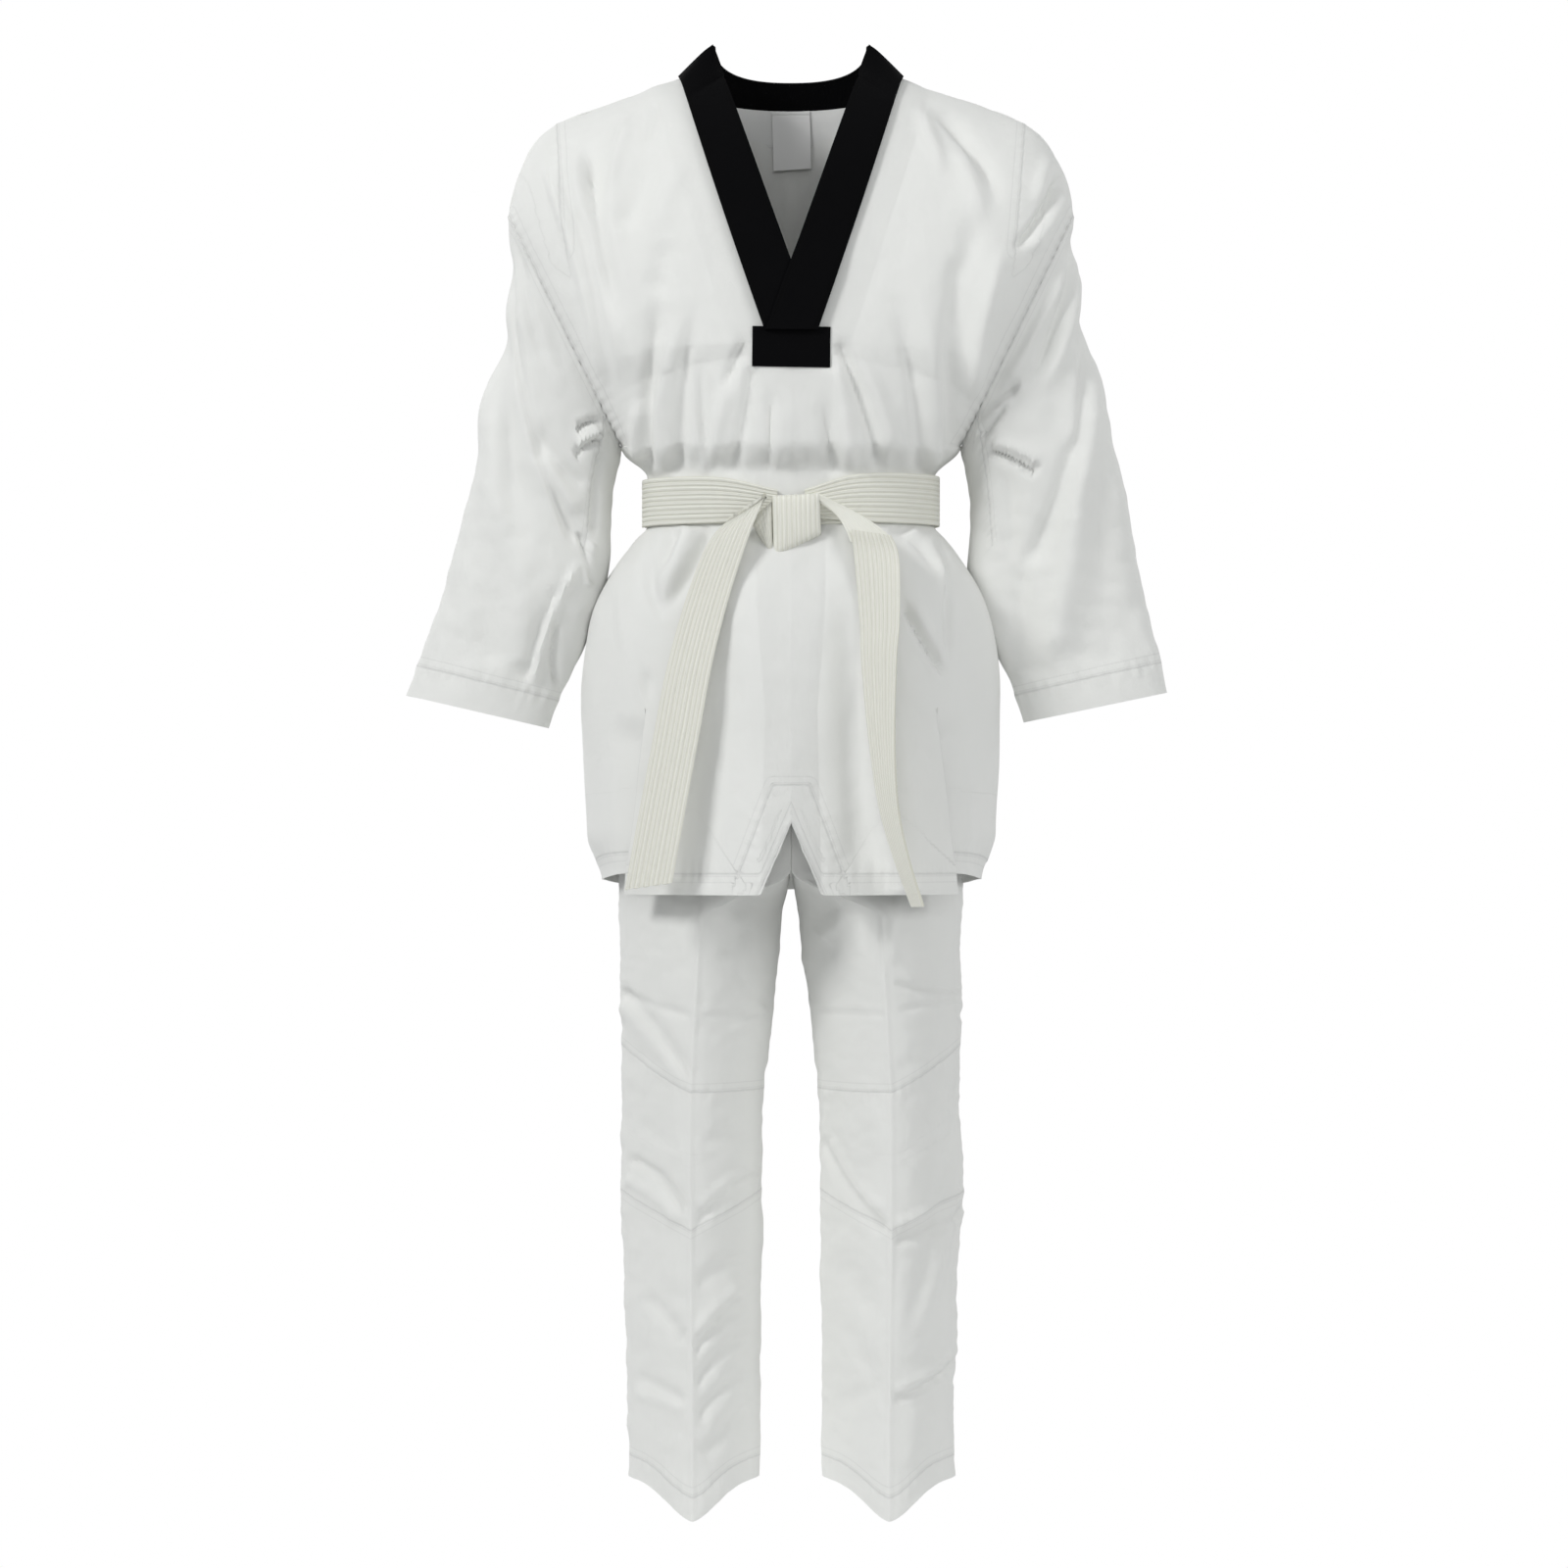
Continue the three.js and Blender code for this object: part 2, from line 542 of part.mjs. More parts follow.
const ROUND = range(16).slice(0, 16).map((n) => n * 360);
const HEAD_LENGTHS = [2 * GAP, SLEEVE_HEAD / 2, SLEEVE_HEAD];
const TUBE_LENGTHS = range(4).map((n) => SLEEVE_HEAD + GAP + SLEEVE * n);
const HEAD_ANGLES = range(12).map((n) => between(GUSSET_HALF_ANGLE - 180, 180 - GUSSET_HALF_ANGLE, n));
const GUSSET_SEAM = THREE.MathUtils.radToDeg((2 * GAP) / ARMHOLE_DEPTH); // degrees
const GUSSET_EDGE = 180 - GUSSET_HALF_ANGLE + GUSSET_SEAM;
const GUSSET_ANGLES = range(4).map((n) => between(GUSSET_EDGE, 360 - GUSSET_EDGE, n));
for (const side of ['left', 'right']) {
  add(`${side}_sleeve_head`, sleevePiece(side, HEAD_LENGTHS, HEAD_ANGLES), WHITE);
  add(`${side}_underarm_gusset`, sleevePiece(side, HEAD_LENGTHS, GUSSET_ANGLES), WHITE);
  add(`${side}_sleeve`, sleevePiece(side, TUBE_LENGTHS, ROUND, true), WHITE);
}

// ---- belt ----
const QUARTERS = [
  ...SEAM_COLUMNS.map((u) => SIDE * u),
  ...[...BACK_COLUMNS].reverse().slice(1).map((u) => 180 - SIDE * u),
];

/** One turn of the belt outside a size, open under the knot. */
function beltTurn(outside) {
  const open = THREE.MathUtils.radToDeg(BELT.gapHalf / WAIST.depth);
  const right = [open, ...QUARTERS.slice(1)];
  const degrees = [...right, ...right.slice(0, -1).reverse().map((a) => 360 - a)];
  const half = BELT.width / 2;
  const sheet = (offset) => grid(degrees, [WAIST.z - half, WAIST.z + half], (a, z) => {
    const [x, y] = rounded(WAIST.width + offset, WAIST.depth + offset, a);
    return new THREE.Vector3(x, y, z);
  });
  return sheetSolid(sheet, outside + BELT.thick, outside);
}

const TURNS = [2 * GAP, 3 * GAP + BELT.thick];
add('belt_inner_wrap', beltTurn(TURNS[0]), CREAM);
add('belt_outer_wrap', beltTurn(TURNS[1]), CREAM);
const BELT_FRONT = -(WAIST.depth + TURNS[1] + BELT.thick + GAP);

/** A flat piece with an outline in x and z, from y = front to y = front + thick. */
function plate(outline, front, thick) {
  const shape = new THREE.Shape(outline.map(([x, z]) => new THREE.Vector2(x, z)));
  const geometry = new THREE.ExtrudeGeometry(shape, { depth: thick, bevelEnabled: false });
  geometry.rotateX(Math.PI / 2);
  geometry.translate(0, front + thick, 0);
  return geometry;
}

const knotOutline = [
  [KNOT.left, KNOT.top],
  [KNOT.right - KNOT.corner, KNOT.top],
  [KNOT.right, KNOT.top - KNOT.corner],
  [KNOT.right, KNOT.lowRight],
  [KNOT.left, KNOT.lowLeft],
];
add('belt_knot', plate(knotOutline, BELT_FRONT - KNOT.thick, KNOT.thick), CREAM);
const foldOutline = [
  [KNOT.left - GAP, KNOT.top],
  [KNOT.left - GAP, KNOT.top - FOLD.height],
  [FOLD.tip, KNOT.top - FOLD.height / 2],
];
add('belt_knot_fold', plate(foldOutline, BELT_FRONT - FOLD.thick, FOLD.thick), CREAM);

/** A hanging belt end through middle points, each with x, the y of the edge nearest the body, z,
 * a slope and a twist in degrees. */
function tail(middles) {
  const rows = range(middles.length - 1);
  const sheet = (inset) => grid([-1, 1], rows, (u, v) => {
    const [x, y, z, slope, twist] = middles[Math.round(v * (middles.length - 1))];
    const a = THREE.MathUtils.degToRad(twist);
    const lean = THREE.MathUtils.degToRad(slope);
    const flat = (u * BELT.width * Math.cos(a)) / 2;
    const point = new THREE.Vector3(x + flat * Math.cos(lean), y, z + flat * Math.sin(lean));
    point.y -= ((u + 1) * BELT.width * Math.sin(a)) / 2;
    return point.add(new THREE.Vector3(Math.sin(a), Math.cos(a), 0).multiplyScalar(inset));
  });
  return sheetSolid(sheet, -TAIL.thick / 2, TAIL.thick / 2);
}

add('belt_tail_left', tail([
  [-44, -113.3, -407, 24, 0],
  [-61, -127, -440, 18, 0],
  [-79, -135, -495, 14, 0],
  [-96, -142, -560, 12, 0],
  [-109, -147, -630, 10, 0],
  [-122, -150, -700, 9, 0],
  [-134, -152, -766, 8, 0],
]), CREAM);
const RIGHT_SLOPE = -12; // degrees that the right end's top slopes
const fromKnot = (BELT.width / 2) * Math.cos(THREE.MathUtils.degToRad(RIGHT_SLOPE));
add('belt_tail_right', tail([
  [KNOT.right + 3 * GAP + fromKnot, -112, -412, RIGHT_SLOPE, 0],
  [76, -125.3, -440, -6, 12],
  [81, -127.8, -490, 0, 30],
  [82, -132.4, -555, 0, 44],
  [84, -136.9, -625, 0, 58],
  [90, -142.1, -690, 6, 68],
  [102, -146.4, -740, 8, 74],
  [117, -149, -785, 8, 78],
]), CREAM);

// ---- trousers: waistband ----
/** A ring of a size between two heights, from one inset to another. */
function ringPiece(width, depth, heights, from, to) {
  const angles = range(20).slice(0, 20).map((n) => n * 360);
  const sheet = (inset) => grid(angles, heights, (a, z) => {
    const [x, y] = rounded(width - inset, depth - inset, a);
    return new THREE.Vector3(x, y, z);
  }, true);
  return sheetSolid(sheet, from, to);
}

const BAND_HEIGHTS = [RISE_TOP - BAND.height, RISE_TOP];
const ELASTIC_MARGIN = (BAND.height - ELASTIC.height) / 2;
const ELASTIC_HEIGHTS = [BAND_HEIGHTS[0] + ELASTIC_MARGIN, RISE_TOP - ELASTIC_MARGIN];
const elasticFrom = BAND.thick + GAP;
const facingFrom = elasticFrom + ELASTIC.thick + GAP;
const waistRing = (heights, from, thick) => ringPiece(BAND.width, BAND.depth, heights, from, from + thick);
add('waistband', waistRing(BAND_HEIGHTS, 0, BAND.thick), WHITE);
add('waist_elastic', waistRing(ELASTIC_HEIGHTS, elasticFrom, ELASTIC.thick), RUBBER);
add('waistband_facing', waistRing(BAND_HEIGHTS, facingFrom, LINING), LINED);

// ---- trousers: hips and legs ----
const HIP_TOP = BAND_HEIGHTS[0] - GAP;
const HIP_LEVELS = [{ z: HIP_TOP, width: BAND.width, depth: BAND.depth }, HIP, CROTCH];
const HIP_ROWS = [CROTCH.z, -725, -690, -640, -590, -540, HIP_TOP];

/** A quarter of the hips: the side is -1 or 1, and so is the facing, -1 for the front. */
function hipPiece(side, facing) {
  const sheet = (inset) => grid(range(6), HIP_ROWS, (u, z) => {
    const { width, depth } = sizeAt(HIP_LEVELS, z);
    const start = THREE.MathUtils.radToDeg(GAP / depth);
    const [x, y] = rounded(width - inset, depth - inset, between(start, SIDE, u));
    const flat = u === 1 ? -GAP / 2 : Math.min(y, -GAP / 2);
    return new THREE.Vector3(side * Math.max(x, GAP / 2), -facing * flat, z);
  });
  return sheetSolid(sheet, 0, TROUSER);
}

const LEG_LEVELS = [LEG_TOP, KNEE, ANKLE];
const LEG_POWER = 1.75; // below 2 the section comes to a blunt crease in front and behind
const CREASE_POWER = 6; // how narrow the hem's dip at the crease is

/** A point of a leg, with degrees from the front crease (0) over the outer side (90) to the back. */
function legPoint(side, degrees, z, inset) {
  const { width, depth, middle } = sizeAt(LEG_LEVELS, z);
  const [x, y] = rounded(width - inset, depth - inset, degrees, LEG_POWER);
  return new THREE.Vector3(side * (middle + x), y, z);
}

/** A piece of a leg between two levels. Its angles run from one seam to the other, or right round. */
function legPiece(side, rows, angles, { ring = false, from = 0, to = TROUSER, dip = false } = {}) {
  const sheet = (inset) => grid(angles, rows, (a, z) => {
    const point = legPoint(side, a, z, inset);
    const crease = Math.abs(Math.cos(THREE.MathUtils.degToRad(a))) ** CREASE_POWER;
    if (dip && z === rows[0]) {
      point.z -= CREASE_DROP * crease;
    }
    return point;
  }, ring);
  return sheetSolid(sheet, from, to);
}

const SEAM_GAP = 0.25; // degrees left clear at each seam of a leg
const FRONT_ANGLES = range(8).map((n) => between(-SIDE + SEAM_GAP, SIDE - SEAM_GAP, n));
const BACK_ANGLES = FRONT_ANGLES.map((a) => a + 180);
const LEG_ROUND = range(16).slice(0, 16).map((n) => n * 360);
const THIGH_TOP_ROWS = [LEG_TOP.z - THIGH_BEND + GAP, LEG_TOP.z - THIGH_BEND / 2, LEG_TOP.z];
const THIGH_ROWS = [KNEE_PANEL.top, -910, LEG_TOP.z - THIGH_BEND];
const PANEL_ROWS = [KNEE_PANEL.bottom + GAP, KNEE.z, KNEE_PANEL.top - GAP];
const SHIN_ROWS = [ANKLE.z, -1290, -1240, -1160, KNEE_PANEL.bottom];
for (const [name, side] of [['left', -1], ['right', 1]]) {
  add(`${name}_hip_front`, hipPiece(side, -1), WHITE);
  add(`${name}_hip_back`, hipPiece(side, 1), WHITE);
  add(`${name}_thigh_top`, legPiece(side, THIGH_TOP_ROWS, LEG_ROUND, { ring: true }), WHITE);
  add(`${name}_thigh_front`, legPiece(side, THIGH_ROWS, FRONT_ANGLES), WHITE);
  add(`${name}_thigh_back`, legPiece(side, THIGH_ROWS, BACK_ANGLES), WHITE);
  add(`${name}_knee_panel`, legPiece(side, PANEL_ROWS, FRONT_ANGLES), WHITE);
  add(`${name}_knee_back`, legPiece(side, PANEL_ROWS, BACK_ANGLES), WHITE);
  add(`${name}_shin_front`, legPiece(side, SHIN_ROWS, FRONT_ANGLES, { dip: true }), WHITE);
  add(`${name}_shin_back`, legPiece(side, SHIN_ROWS, BACK_ANGLES, { dip: true }), WHITE);
}

const GUSSET = { half: 28, taper: 0.12 }; // the crotch gusset is widest in its middle
const gussetSheet = grid([-1, 1], range(6), (u, v) => {
  const end = CROTCH.depth - TROUSER - 2 * GAP;
  const half = GUSSET.half * Math.sin(Math.PI * between(GUSSET.taper, 1 - GUSSET.taper, v));
  return new THREE.Vector3(u * half, between(-end, end, v), CROTCH.z);
});
const upwards = (p, t) => new THREE.Vector3(p.x, p.y, p.z + t);
add('crotch_gusset', thicken(gussetSheet, upwards, 0, TROUSER), WHITE);

export default uniform;
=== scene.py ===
"""Looks of a martial arts uniform: a V-neck pullover jacket, a tied belt and pressed trousers.

Shapes are worked out in millimetres on grids of two parameters and turned into metres when they
become meshes. +Z is up, the front faces -Y, and left and right are the viewer's.
"""

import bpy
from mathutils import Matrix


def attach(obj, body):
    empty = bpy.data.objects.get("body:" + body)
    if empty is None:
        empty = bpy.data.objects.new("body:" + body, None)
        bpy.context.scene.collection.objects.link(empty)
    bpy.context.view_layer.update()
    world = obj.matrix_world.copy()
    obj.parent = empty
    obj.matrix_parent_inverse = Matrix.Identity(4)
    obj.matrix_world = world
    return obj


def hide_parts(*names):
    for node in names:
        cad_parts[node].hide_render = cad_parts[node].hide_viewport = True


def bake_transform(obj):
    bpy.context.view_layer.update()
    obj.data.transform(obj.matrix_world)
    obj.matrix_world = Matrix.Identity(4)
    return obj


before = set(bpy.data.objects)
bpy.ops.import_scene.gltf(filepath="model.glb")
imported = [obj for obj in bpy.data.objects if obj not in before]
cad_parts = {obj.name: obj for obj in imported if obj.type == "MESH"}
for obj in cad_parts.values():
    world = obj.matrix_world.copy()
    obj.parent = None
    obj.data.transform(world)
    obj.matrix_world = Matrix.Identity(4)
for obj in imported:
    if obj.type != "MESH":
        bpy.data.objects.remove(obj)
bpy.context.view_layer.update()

import logging
import math
from collections.abc import Callable, Sequence
from dataclasses import dataclass, field
from enum import Enum

import bpy
import numpy as np
from mathutils import Vector

Array = np.ndarray
Edge = Callable[[Array], Array]
log = logging.getLogger("uniform")

MM = 0.001
SIDES = {"left": -1.0, "right": 1.0}
BELT_Z = -398.0  # middle of the belt, in millimetres


class Held(Enum):
    """How a sheet of cloth is held."""

    HUNG = "hung"
    STRETCHED = "stretched"
    FOLDED = "folded"
    GATHERED = "gathered"


# ---------------------------------------------------------------- numbers and curves


def mix(a: Array | float, b: Array | float, t: Array | float) -> Array:
    """Value a share t of the way from a to b."""
    return a + (b - a) * t


def smooth(t: Array | float) -> Array:
    """Eased share: 3t^2 - 2t^3, held between 0 and 1."""
    t = np.clip(t, 0.0, 1.0)
    return t * t * (3.0 - 2.0 * t)


def bump(distance: Array, width: float) -> Array:
    """A bell exp(-(d / w)^2) across a distance."""
    return np.exp(-((distance / width) ** 2))


def vec(x: Array, y: Array, z: Array) -> Array:
    """Arrays of x, y and z stacked as points."""
    return np.stack(np.broadcast_arrays(x, y, z), axis=-1).astype(float)


def spline(knots: Sequence[Sequence[float]], t: Array) -> Array:
    """A smooth curve through knots at equal steps of t from 0 to 1.

    Between two knots it is the cubic whose slopes are half the distance between the neighbours.

    Args:
        knots: Points of any number of values each.
        t: Shares along the curve.

    Returns:
        One point for each t.
    """
    rows = np.asarray(knots, float)
    padded = np.vstack([2 * rows[0] - rows[1], rows, 2 * rows[-1] - rows[-2]])
    place = np.clip(np.asarray(t, float), 0.0, 1.0) * (len(rows) - 1)
    cell = np.minimum(place.astype(int), len(rows) - 2)
    s = (place - cell)[..., None]
    a, b, c, d = (padded[cell + n] for n in range(4))
    return 0.5 * (
        2 * b + (c - a) * s + (2 * a - 5 * b + 4 * c - d) * s**2 + (3 * b - a - 3 * c + d) * s**3
    )


def rounded(width: Array, depth: Array, degrees: Array, power: float) -> tuple[Array, Array]:
    """A superellipse: x = w sin^(2/p), y = -d cos^(2/p), from the front (0) to the back (180)."""
    turn = np.radians(degrees)
    sine, cosine = np.sin(turn), np.cos(turn)
    x = width * np.sign(sine) * np.abs(sine) ** (2.0 / power)
    y = -depth * np.sign(cosine) * np.abs(cosine) ** (2.0 / power)
    return x, y


# ---------------------------------------------------------------- folds and seams


@dataclass(frozen=True)
class Fold:
    """A ridge or valley of the cloth along a bent line seen from the front.

    Height h exp(-(d / w)^2), with the width multiplied by `lean` on the line's right-hand side, so
    that one side is steeper. It fades over a share of its length at each end.
    """

    start: tuple[float, float]
    end: tuple[float, float]
    height: float
    width: float = 9.0
    bend: float = 0.0
    lean: float = 1.0
    fade: tuple[float, float] = (0.3, 0.3)

    def at(self, x: Array, z: Array) -> Array:
        """Height of the fold at places x, z."""
        ax, az = self.start
        dx, dz = self.end[0] - ax, self.end[1] - az
        length = math.hypot(dx, dz)
        t = ((x - ax) * dx + (z - az) * dz) / length**2
        across = ((x - ax) * dz - (z - az) * dx) / length - self.bend * 4 * t * (1 - t)
        width = np.where(across > 0, self.width * self.lean, self.width)
        ends = smooth(t / max(self.fade[0], 1e-3)) * smooth((1 - t) / max(self.fade[1], 1e-3))
        inside = (t > 0) & (t < 1)
        return self.height * np.exp(-((across / width) ** 2)) * ends * inside


@dataclass(frozen=True)
class Crumple:
    """Soft irregular waves: a sum of sines in random directions with random phases.

    Args:
        seed: Chooses the directions.
        height: Height of the whole sum.
        wave: Shortest and longest wavelength.
        stretch: How many times longer the waves are along z than along x.
    """

    seed: int
    height: float
    wave: tuple[float, float] = (35.0, 120.0)
    stretch: float = 1.0
    count: int = 14

    def at(self, x: Array, z: Array) -> Array:
        """Height of the waves at places x, z."""
        chance = np.random.default_rng(self.seed)
        total = np.zeros_like(x)
        for _ in range(self.count):
            wave = chance.uniform(*self.wave)
            turn = chance.uniform(0, math.pi)
            phase = chance.uniform(0, 2 * math.pi)
            warp = chance.uniform(0.2, 1.0)
            flow = x * math.cos(turn) + z * math.sin(turn) / self.stretch
            side = z * math.cos(turn) / self.stretch - x * math.sin(turn)
            bent = flow + warp * 9.0 * np.sin(side / wave * 2.1 + phase)
            total += np.sin(2 * math.pi * bent / wave + phase)
        return self.height * total / math.sqrt(self.count)


@dataclass(frozen=True)
class Seam:
    """A sewn line through points x, z, seen from the front."""

    line: tuple[tuple[float, float], ...]

    def at(self, x: Array, z: Array) -> tuple[Array, Array]:
        """Signed distance from the nearest stretch of the line, and the length along it."""
        best = np.full(x.shape, 1e6)
        along = np.zeros(x.shape)
        passed = 0.0
        for (ax, az), (bx, bz) in zip(self.line, self.line[1:]):
            dx, dz = bx - ax, bz - az
            length = math.hypot(dx, dz)
            t = np.clip(((x - ax) * dx + (z - az) * dz) / length**2, 0, 1)
            across = ((x - ax) * dz - (z - az) * dx) / length
            off = np.hypot(x - ax - t * dx, z - az - t * dz)
            signed = np.where(across < 0, -off, off)
            nearer = off < np.abs(best)
            best = np.where(nearer, signed, best)
            along = np.where(nearer, passed + t * length, along)
            passed += length
        return best, along


FAR = 60.0


@dataclass
class Sewing:
    """Distance from the nearest seam and length along it, for every point of a surface."""

    distance: Array
    along: Array

    def add(self, distance: Array, along: Array) -> None:
        """Keeps whichever seam is nearer."""
        nearer = np.abs(distance) < np.abs(self.distance)
        self.distance = np.where(nearer, distance, self.distance)
        self.along = np.where(nearer, along, self.along)

    def puckers(self, height: float, wave: float = 11.0, reach: float = 7.0) -> Array:
        """Ripples beside the seam: h sin(2 pi s / w), warped, dying away as exp(-|d| / reach)."""
        warped = self.along + 2.5 * np.sin(self.along / 17.0) + 1.7 * np.sin(self.along / 7.3)
        return height * np.sin(2 * math.pi * warped / wave) * np.exp(-np.abs(self.distance) / reach)


def sewn(shape: tuple[int, ...]) -> Sewing:
    """Sewing with no seam near."""
    return Sewing(np.full(shape, FAR), np.zeros(shape))


# ---------------------------------------------------------------- surfaces


def eased(points: Array, share: Array, passes: int) -> Array:
    """A grid with each point drawn towards the middle of its neighbours in the row, many times.

    Args:
        points: The grid.
        share: How far each point is drawn, from 0 to 1.
        passes: Number of times.

    Returns:
        The grid, with its first and last columns unmoved.
    """
    out = points.copy()
    weight = 0.5 * share[:, 1:-1, None]
    for _ in range(passes):
        middle = (out[:, :-2] + out[:, 2:]) / 2
        out[:, 1:-1] = mix(out[:, 1:-1], middle, weight)
    return out


@dataclass
class Surface:
    """Points and four-cornered faces.

    Each face corner has the cloth's place and the seams, each face has a part number, and each
    point has a lift, the height that its sewing gives it.
    """

    points: Array
    lift: Array
    faces: Array
    weave: Array
    seams: Array
    part: Array

    def keep(self, faces: Array, order: Sequence[int] = (0, 1, 2, 3)) -> "Surface":
        """The faces that are kept, with their corners in an order."""
        turned = list(order)
        return Surface(
            self.points, self.lift, self.faces[faces][:, turned], self.weave[faces][:, turned],
            self.seams[faces][:, turned], self.part[faces],
        )

    def welded(self) -> "Surface":
        """The same surface with points closer than 0.02 mm joined."""
        keys = np.round(self.points / 0.02).astype(np.int64)
        _, first, inverse = np.unique(keys, axis=0, return_index=True, return_inverse=True)
        faces = inverse.reshape(-1)[self.faces]
        flat = faces == np.roll(faces, 1, axis=1)
        cross = (faces[:, 0] == faces[:, 2]) | (faces[:, 1] == faces[:, 3])
        joined_up = Surface(
            self.points[first], self.lift[first], faces, self.weave, self.seams, self.part
        )
        return joined_up.keep(~(flat.any(axis=1) | cross))

    def mirrored(self) -> "Surface":
        """The mirror image across x = 0, facing the same way out."""
        turned = self.flipped()
        turned.points = turned.points * np.array([-1.0, 1.0, 1.0])
        turned.weave = turned.weave * np.array([-1.0, 1.0])
        return turned

    def flipped(self) -> "Surface":
        """The same surface facing the other way."""
        return self.keep(np.ones(len(self.faces), bool), (0, 3, 2, 1))

    def normals(self) -> Array:
        """Unit normals at the points: the sum of the crossed diagonals of the faces around each."""
        a, b, c, d = (self.points[self.faces[:, n]] for n in range(4))
        face = np.cross(c - a, d - b)
        total = np.zeros_like(self.points)
        for corner in range(4):
            np.add.at(total, self.faces[:, corner], face)
        length = np.linalg.norm(total, axis=1, keepdims=True)
        return total / np.maximum(length, 1e-9)

    def moved(self, height: Array) -> "Surface":
        """The surface moved out along its normals by a height at each point."""
        out = self.keep(np.ones(len(self.faces), bool))
        out.points = self.points + self.normals() * height[:, None]
        return out

    def area(self) -> float:
        """Area of the faces in square metres: half the length of the crossed diagonals."""
        a, b, c, d = (self.points[self.faces[:, n]] for n in range(4))
        return float(np.linalg.norm(np.cross(c - a, d - b), axis=1).sum() / 2 * MM * MM)

    def shell(self, thick: float, part: int | None = None) -> "Surface":
        """A closed shell from the surface to `thick` below it, with walls along its open edges.

        Args:
            thick: Thickness in millimetres.
            part: The part to keep, or None for the whole. The thickness is measured along the
                whole surface's normals, so that parts meet.

        Returns:
            The shell.
        """
        normals = self.normals()
        kept = self.keep(self.part == part) if part is not None else self
        used, inverse = np.unique(kept.faces, return_inverse=True)
        faces = inverse.reshape(kept.faces.shape)
        outer = self.points[used]
        count = len(outer)
        inner = outer - normals[used] * thick
        heads = faces.reshape(-1)
        tails = np.roll(faces, -1, axis=1).reshape(-1)
        codes = heads.astype(np.int64) * count + tails
        back = tails.astype(np.int64) * count + heads
        open_edge = ~np.isin(codes, back)
        a, b = heads[open_edge], tails[open_edge]
        walls = np.stack([b, a, a + count, b + count], axis=1)
        corner = np.flatnonzero(open_edge)
        after = np.where(corner % 4 == 3, corner - 3, corner + 1)

        def along_wall(values: Array) -> Array:
            """Corner values of the walls, taken from the edges they rise from."""
            rows = values.reshape(-1, 2)
            return np.stack([rows[after], rows[corner], rows[corner], rows[after]], axis=1)

        order = [3, 2, 1, 0]
        total = 2 * len(faces) + len(walls)
        return Surface(
            np.vstack([outer, inner]),
            np.zeros(2 * count),
            np.vstack([faces, faces[:, order] + count, walls]),
            np.vstack([kept.weave, kept.weave[:, order], along_wall(kept.weave)]),
            np.vstack([kept.seams, kept.seams[:, order], along_wall(kept.seams)]),
            np.zeros(total, int),
        )


def arc(points: Array, axis: int) -> Array:
    """Length in metres along one direction of a grid, from its first row or column."""
    steps = np.linalg.norm(np.diff(points, axis=axis), axis=-1)
    pad = [(0, 0), (0, 0)]
    pad[axis] = (1, 0)
    return np.pad(np.cumsum(steps, axis=axis), pad) * MM


def grid(points: Array, sewing: Sewing | None = None, pucker: float = 0.0, part: int = 0) -> Surface:
    """A surface from a grid of points, rows first.

    Args:
        points: Array of rows by columns by 3, facing out where columns run right and rows run up.
        sewing: Distances to seams for the same grid.
        pucker: Height of the ripples beside the seams.
        part: The number of the part that its faces belong to.

    Returns:
        The surface, with its weave in metres along and across the grid.
    """
    rows, columns = points.shape[:2]
    index = np.arange(rows * columns).reshape(rows, columns)
    faces = np.stack([index[:-1, :-1], index[:-1, 1:], index[1:, 1:], index[1:, :-1]], axis=-1)
    faces = faces.reshape(-1, 4)
    place = np.stack([arc(points, 1), arc(points, 0)], axis=-1).reshape(-1, 2)
    sewing = sewing or sewn((rows, columns))
    seams = np.stack([sewing.distance, sewing.along], axis=-1).reshape(-1, 2) * MM
    lift = sewing.puckers(pucker).reshape(-1)
    label = np.full(len(faces), part)
    return Surface(points.reshape(-1, 3), lift, faces, place[faces], seams[faces], label)


def joined(*surfaces: Surface) -> Surface:
    """Surfaces as one, welded where they meet."""
    counts = np.cumsum([0, *(len(s.points) for s in surfaces)])
    return Surface(
        np.vstack([s.points for s in surfaces]),
        np.concatenate([s.lift for s in surfaces]),
        np.vstack([s.faces + n for s, n in zip(surfaces, counts)]),
        np.vstack([s.weave for s in surfaces]),
        np.vstack([s.seams for s in surfaces]),
        np.concatenate([s.part for s in surfaces]),
    ).welded()


def to_object(name: str, surface: Surface, finish: bpy.types.Material) -> bpy.types.Object:
    """A Blender object from a surface, smooth shaded, with UV maps Weave and Seams.

    Args:
        name: The piece's name.
        surface: The shape in millimetres.
        finish: Its material.

    Returns:
        The object, linked to the scene, at the origin.
    """
    mesh = bpy.data.meshes.new(name)
    mesh.from_pydata((surface.points * MM).tolist(), [], surface.faces.tolist())
    for layer, values in (("Weave", surface.weave), ("Seams", surface.seams)):
        uv = mesh.uv_layers.new(name=layer)
        uv.data.foreach_set("uv", values.reshape(-1).astype(np.float32))
    mesh.polygons.foreach_set("use_smooth", np.ones(len(mesh.polygons), bool))
    mesh.materials.append(finish)
    mesh.update()
    mesh.set_sharp_from_angle(angle=math.radians(55))
    obj = bpy.data.objects.new(name, mesh)
    bpy.context.scene.collection.objects.link(obj)
    log.info("%s: %d faces, %.3f m2 each side", name, len(surface.faces), surface.area() / 2)
    return obj


# ---------------------------------------------------------------- finishes


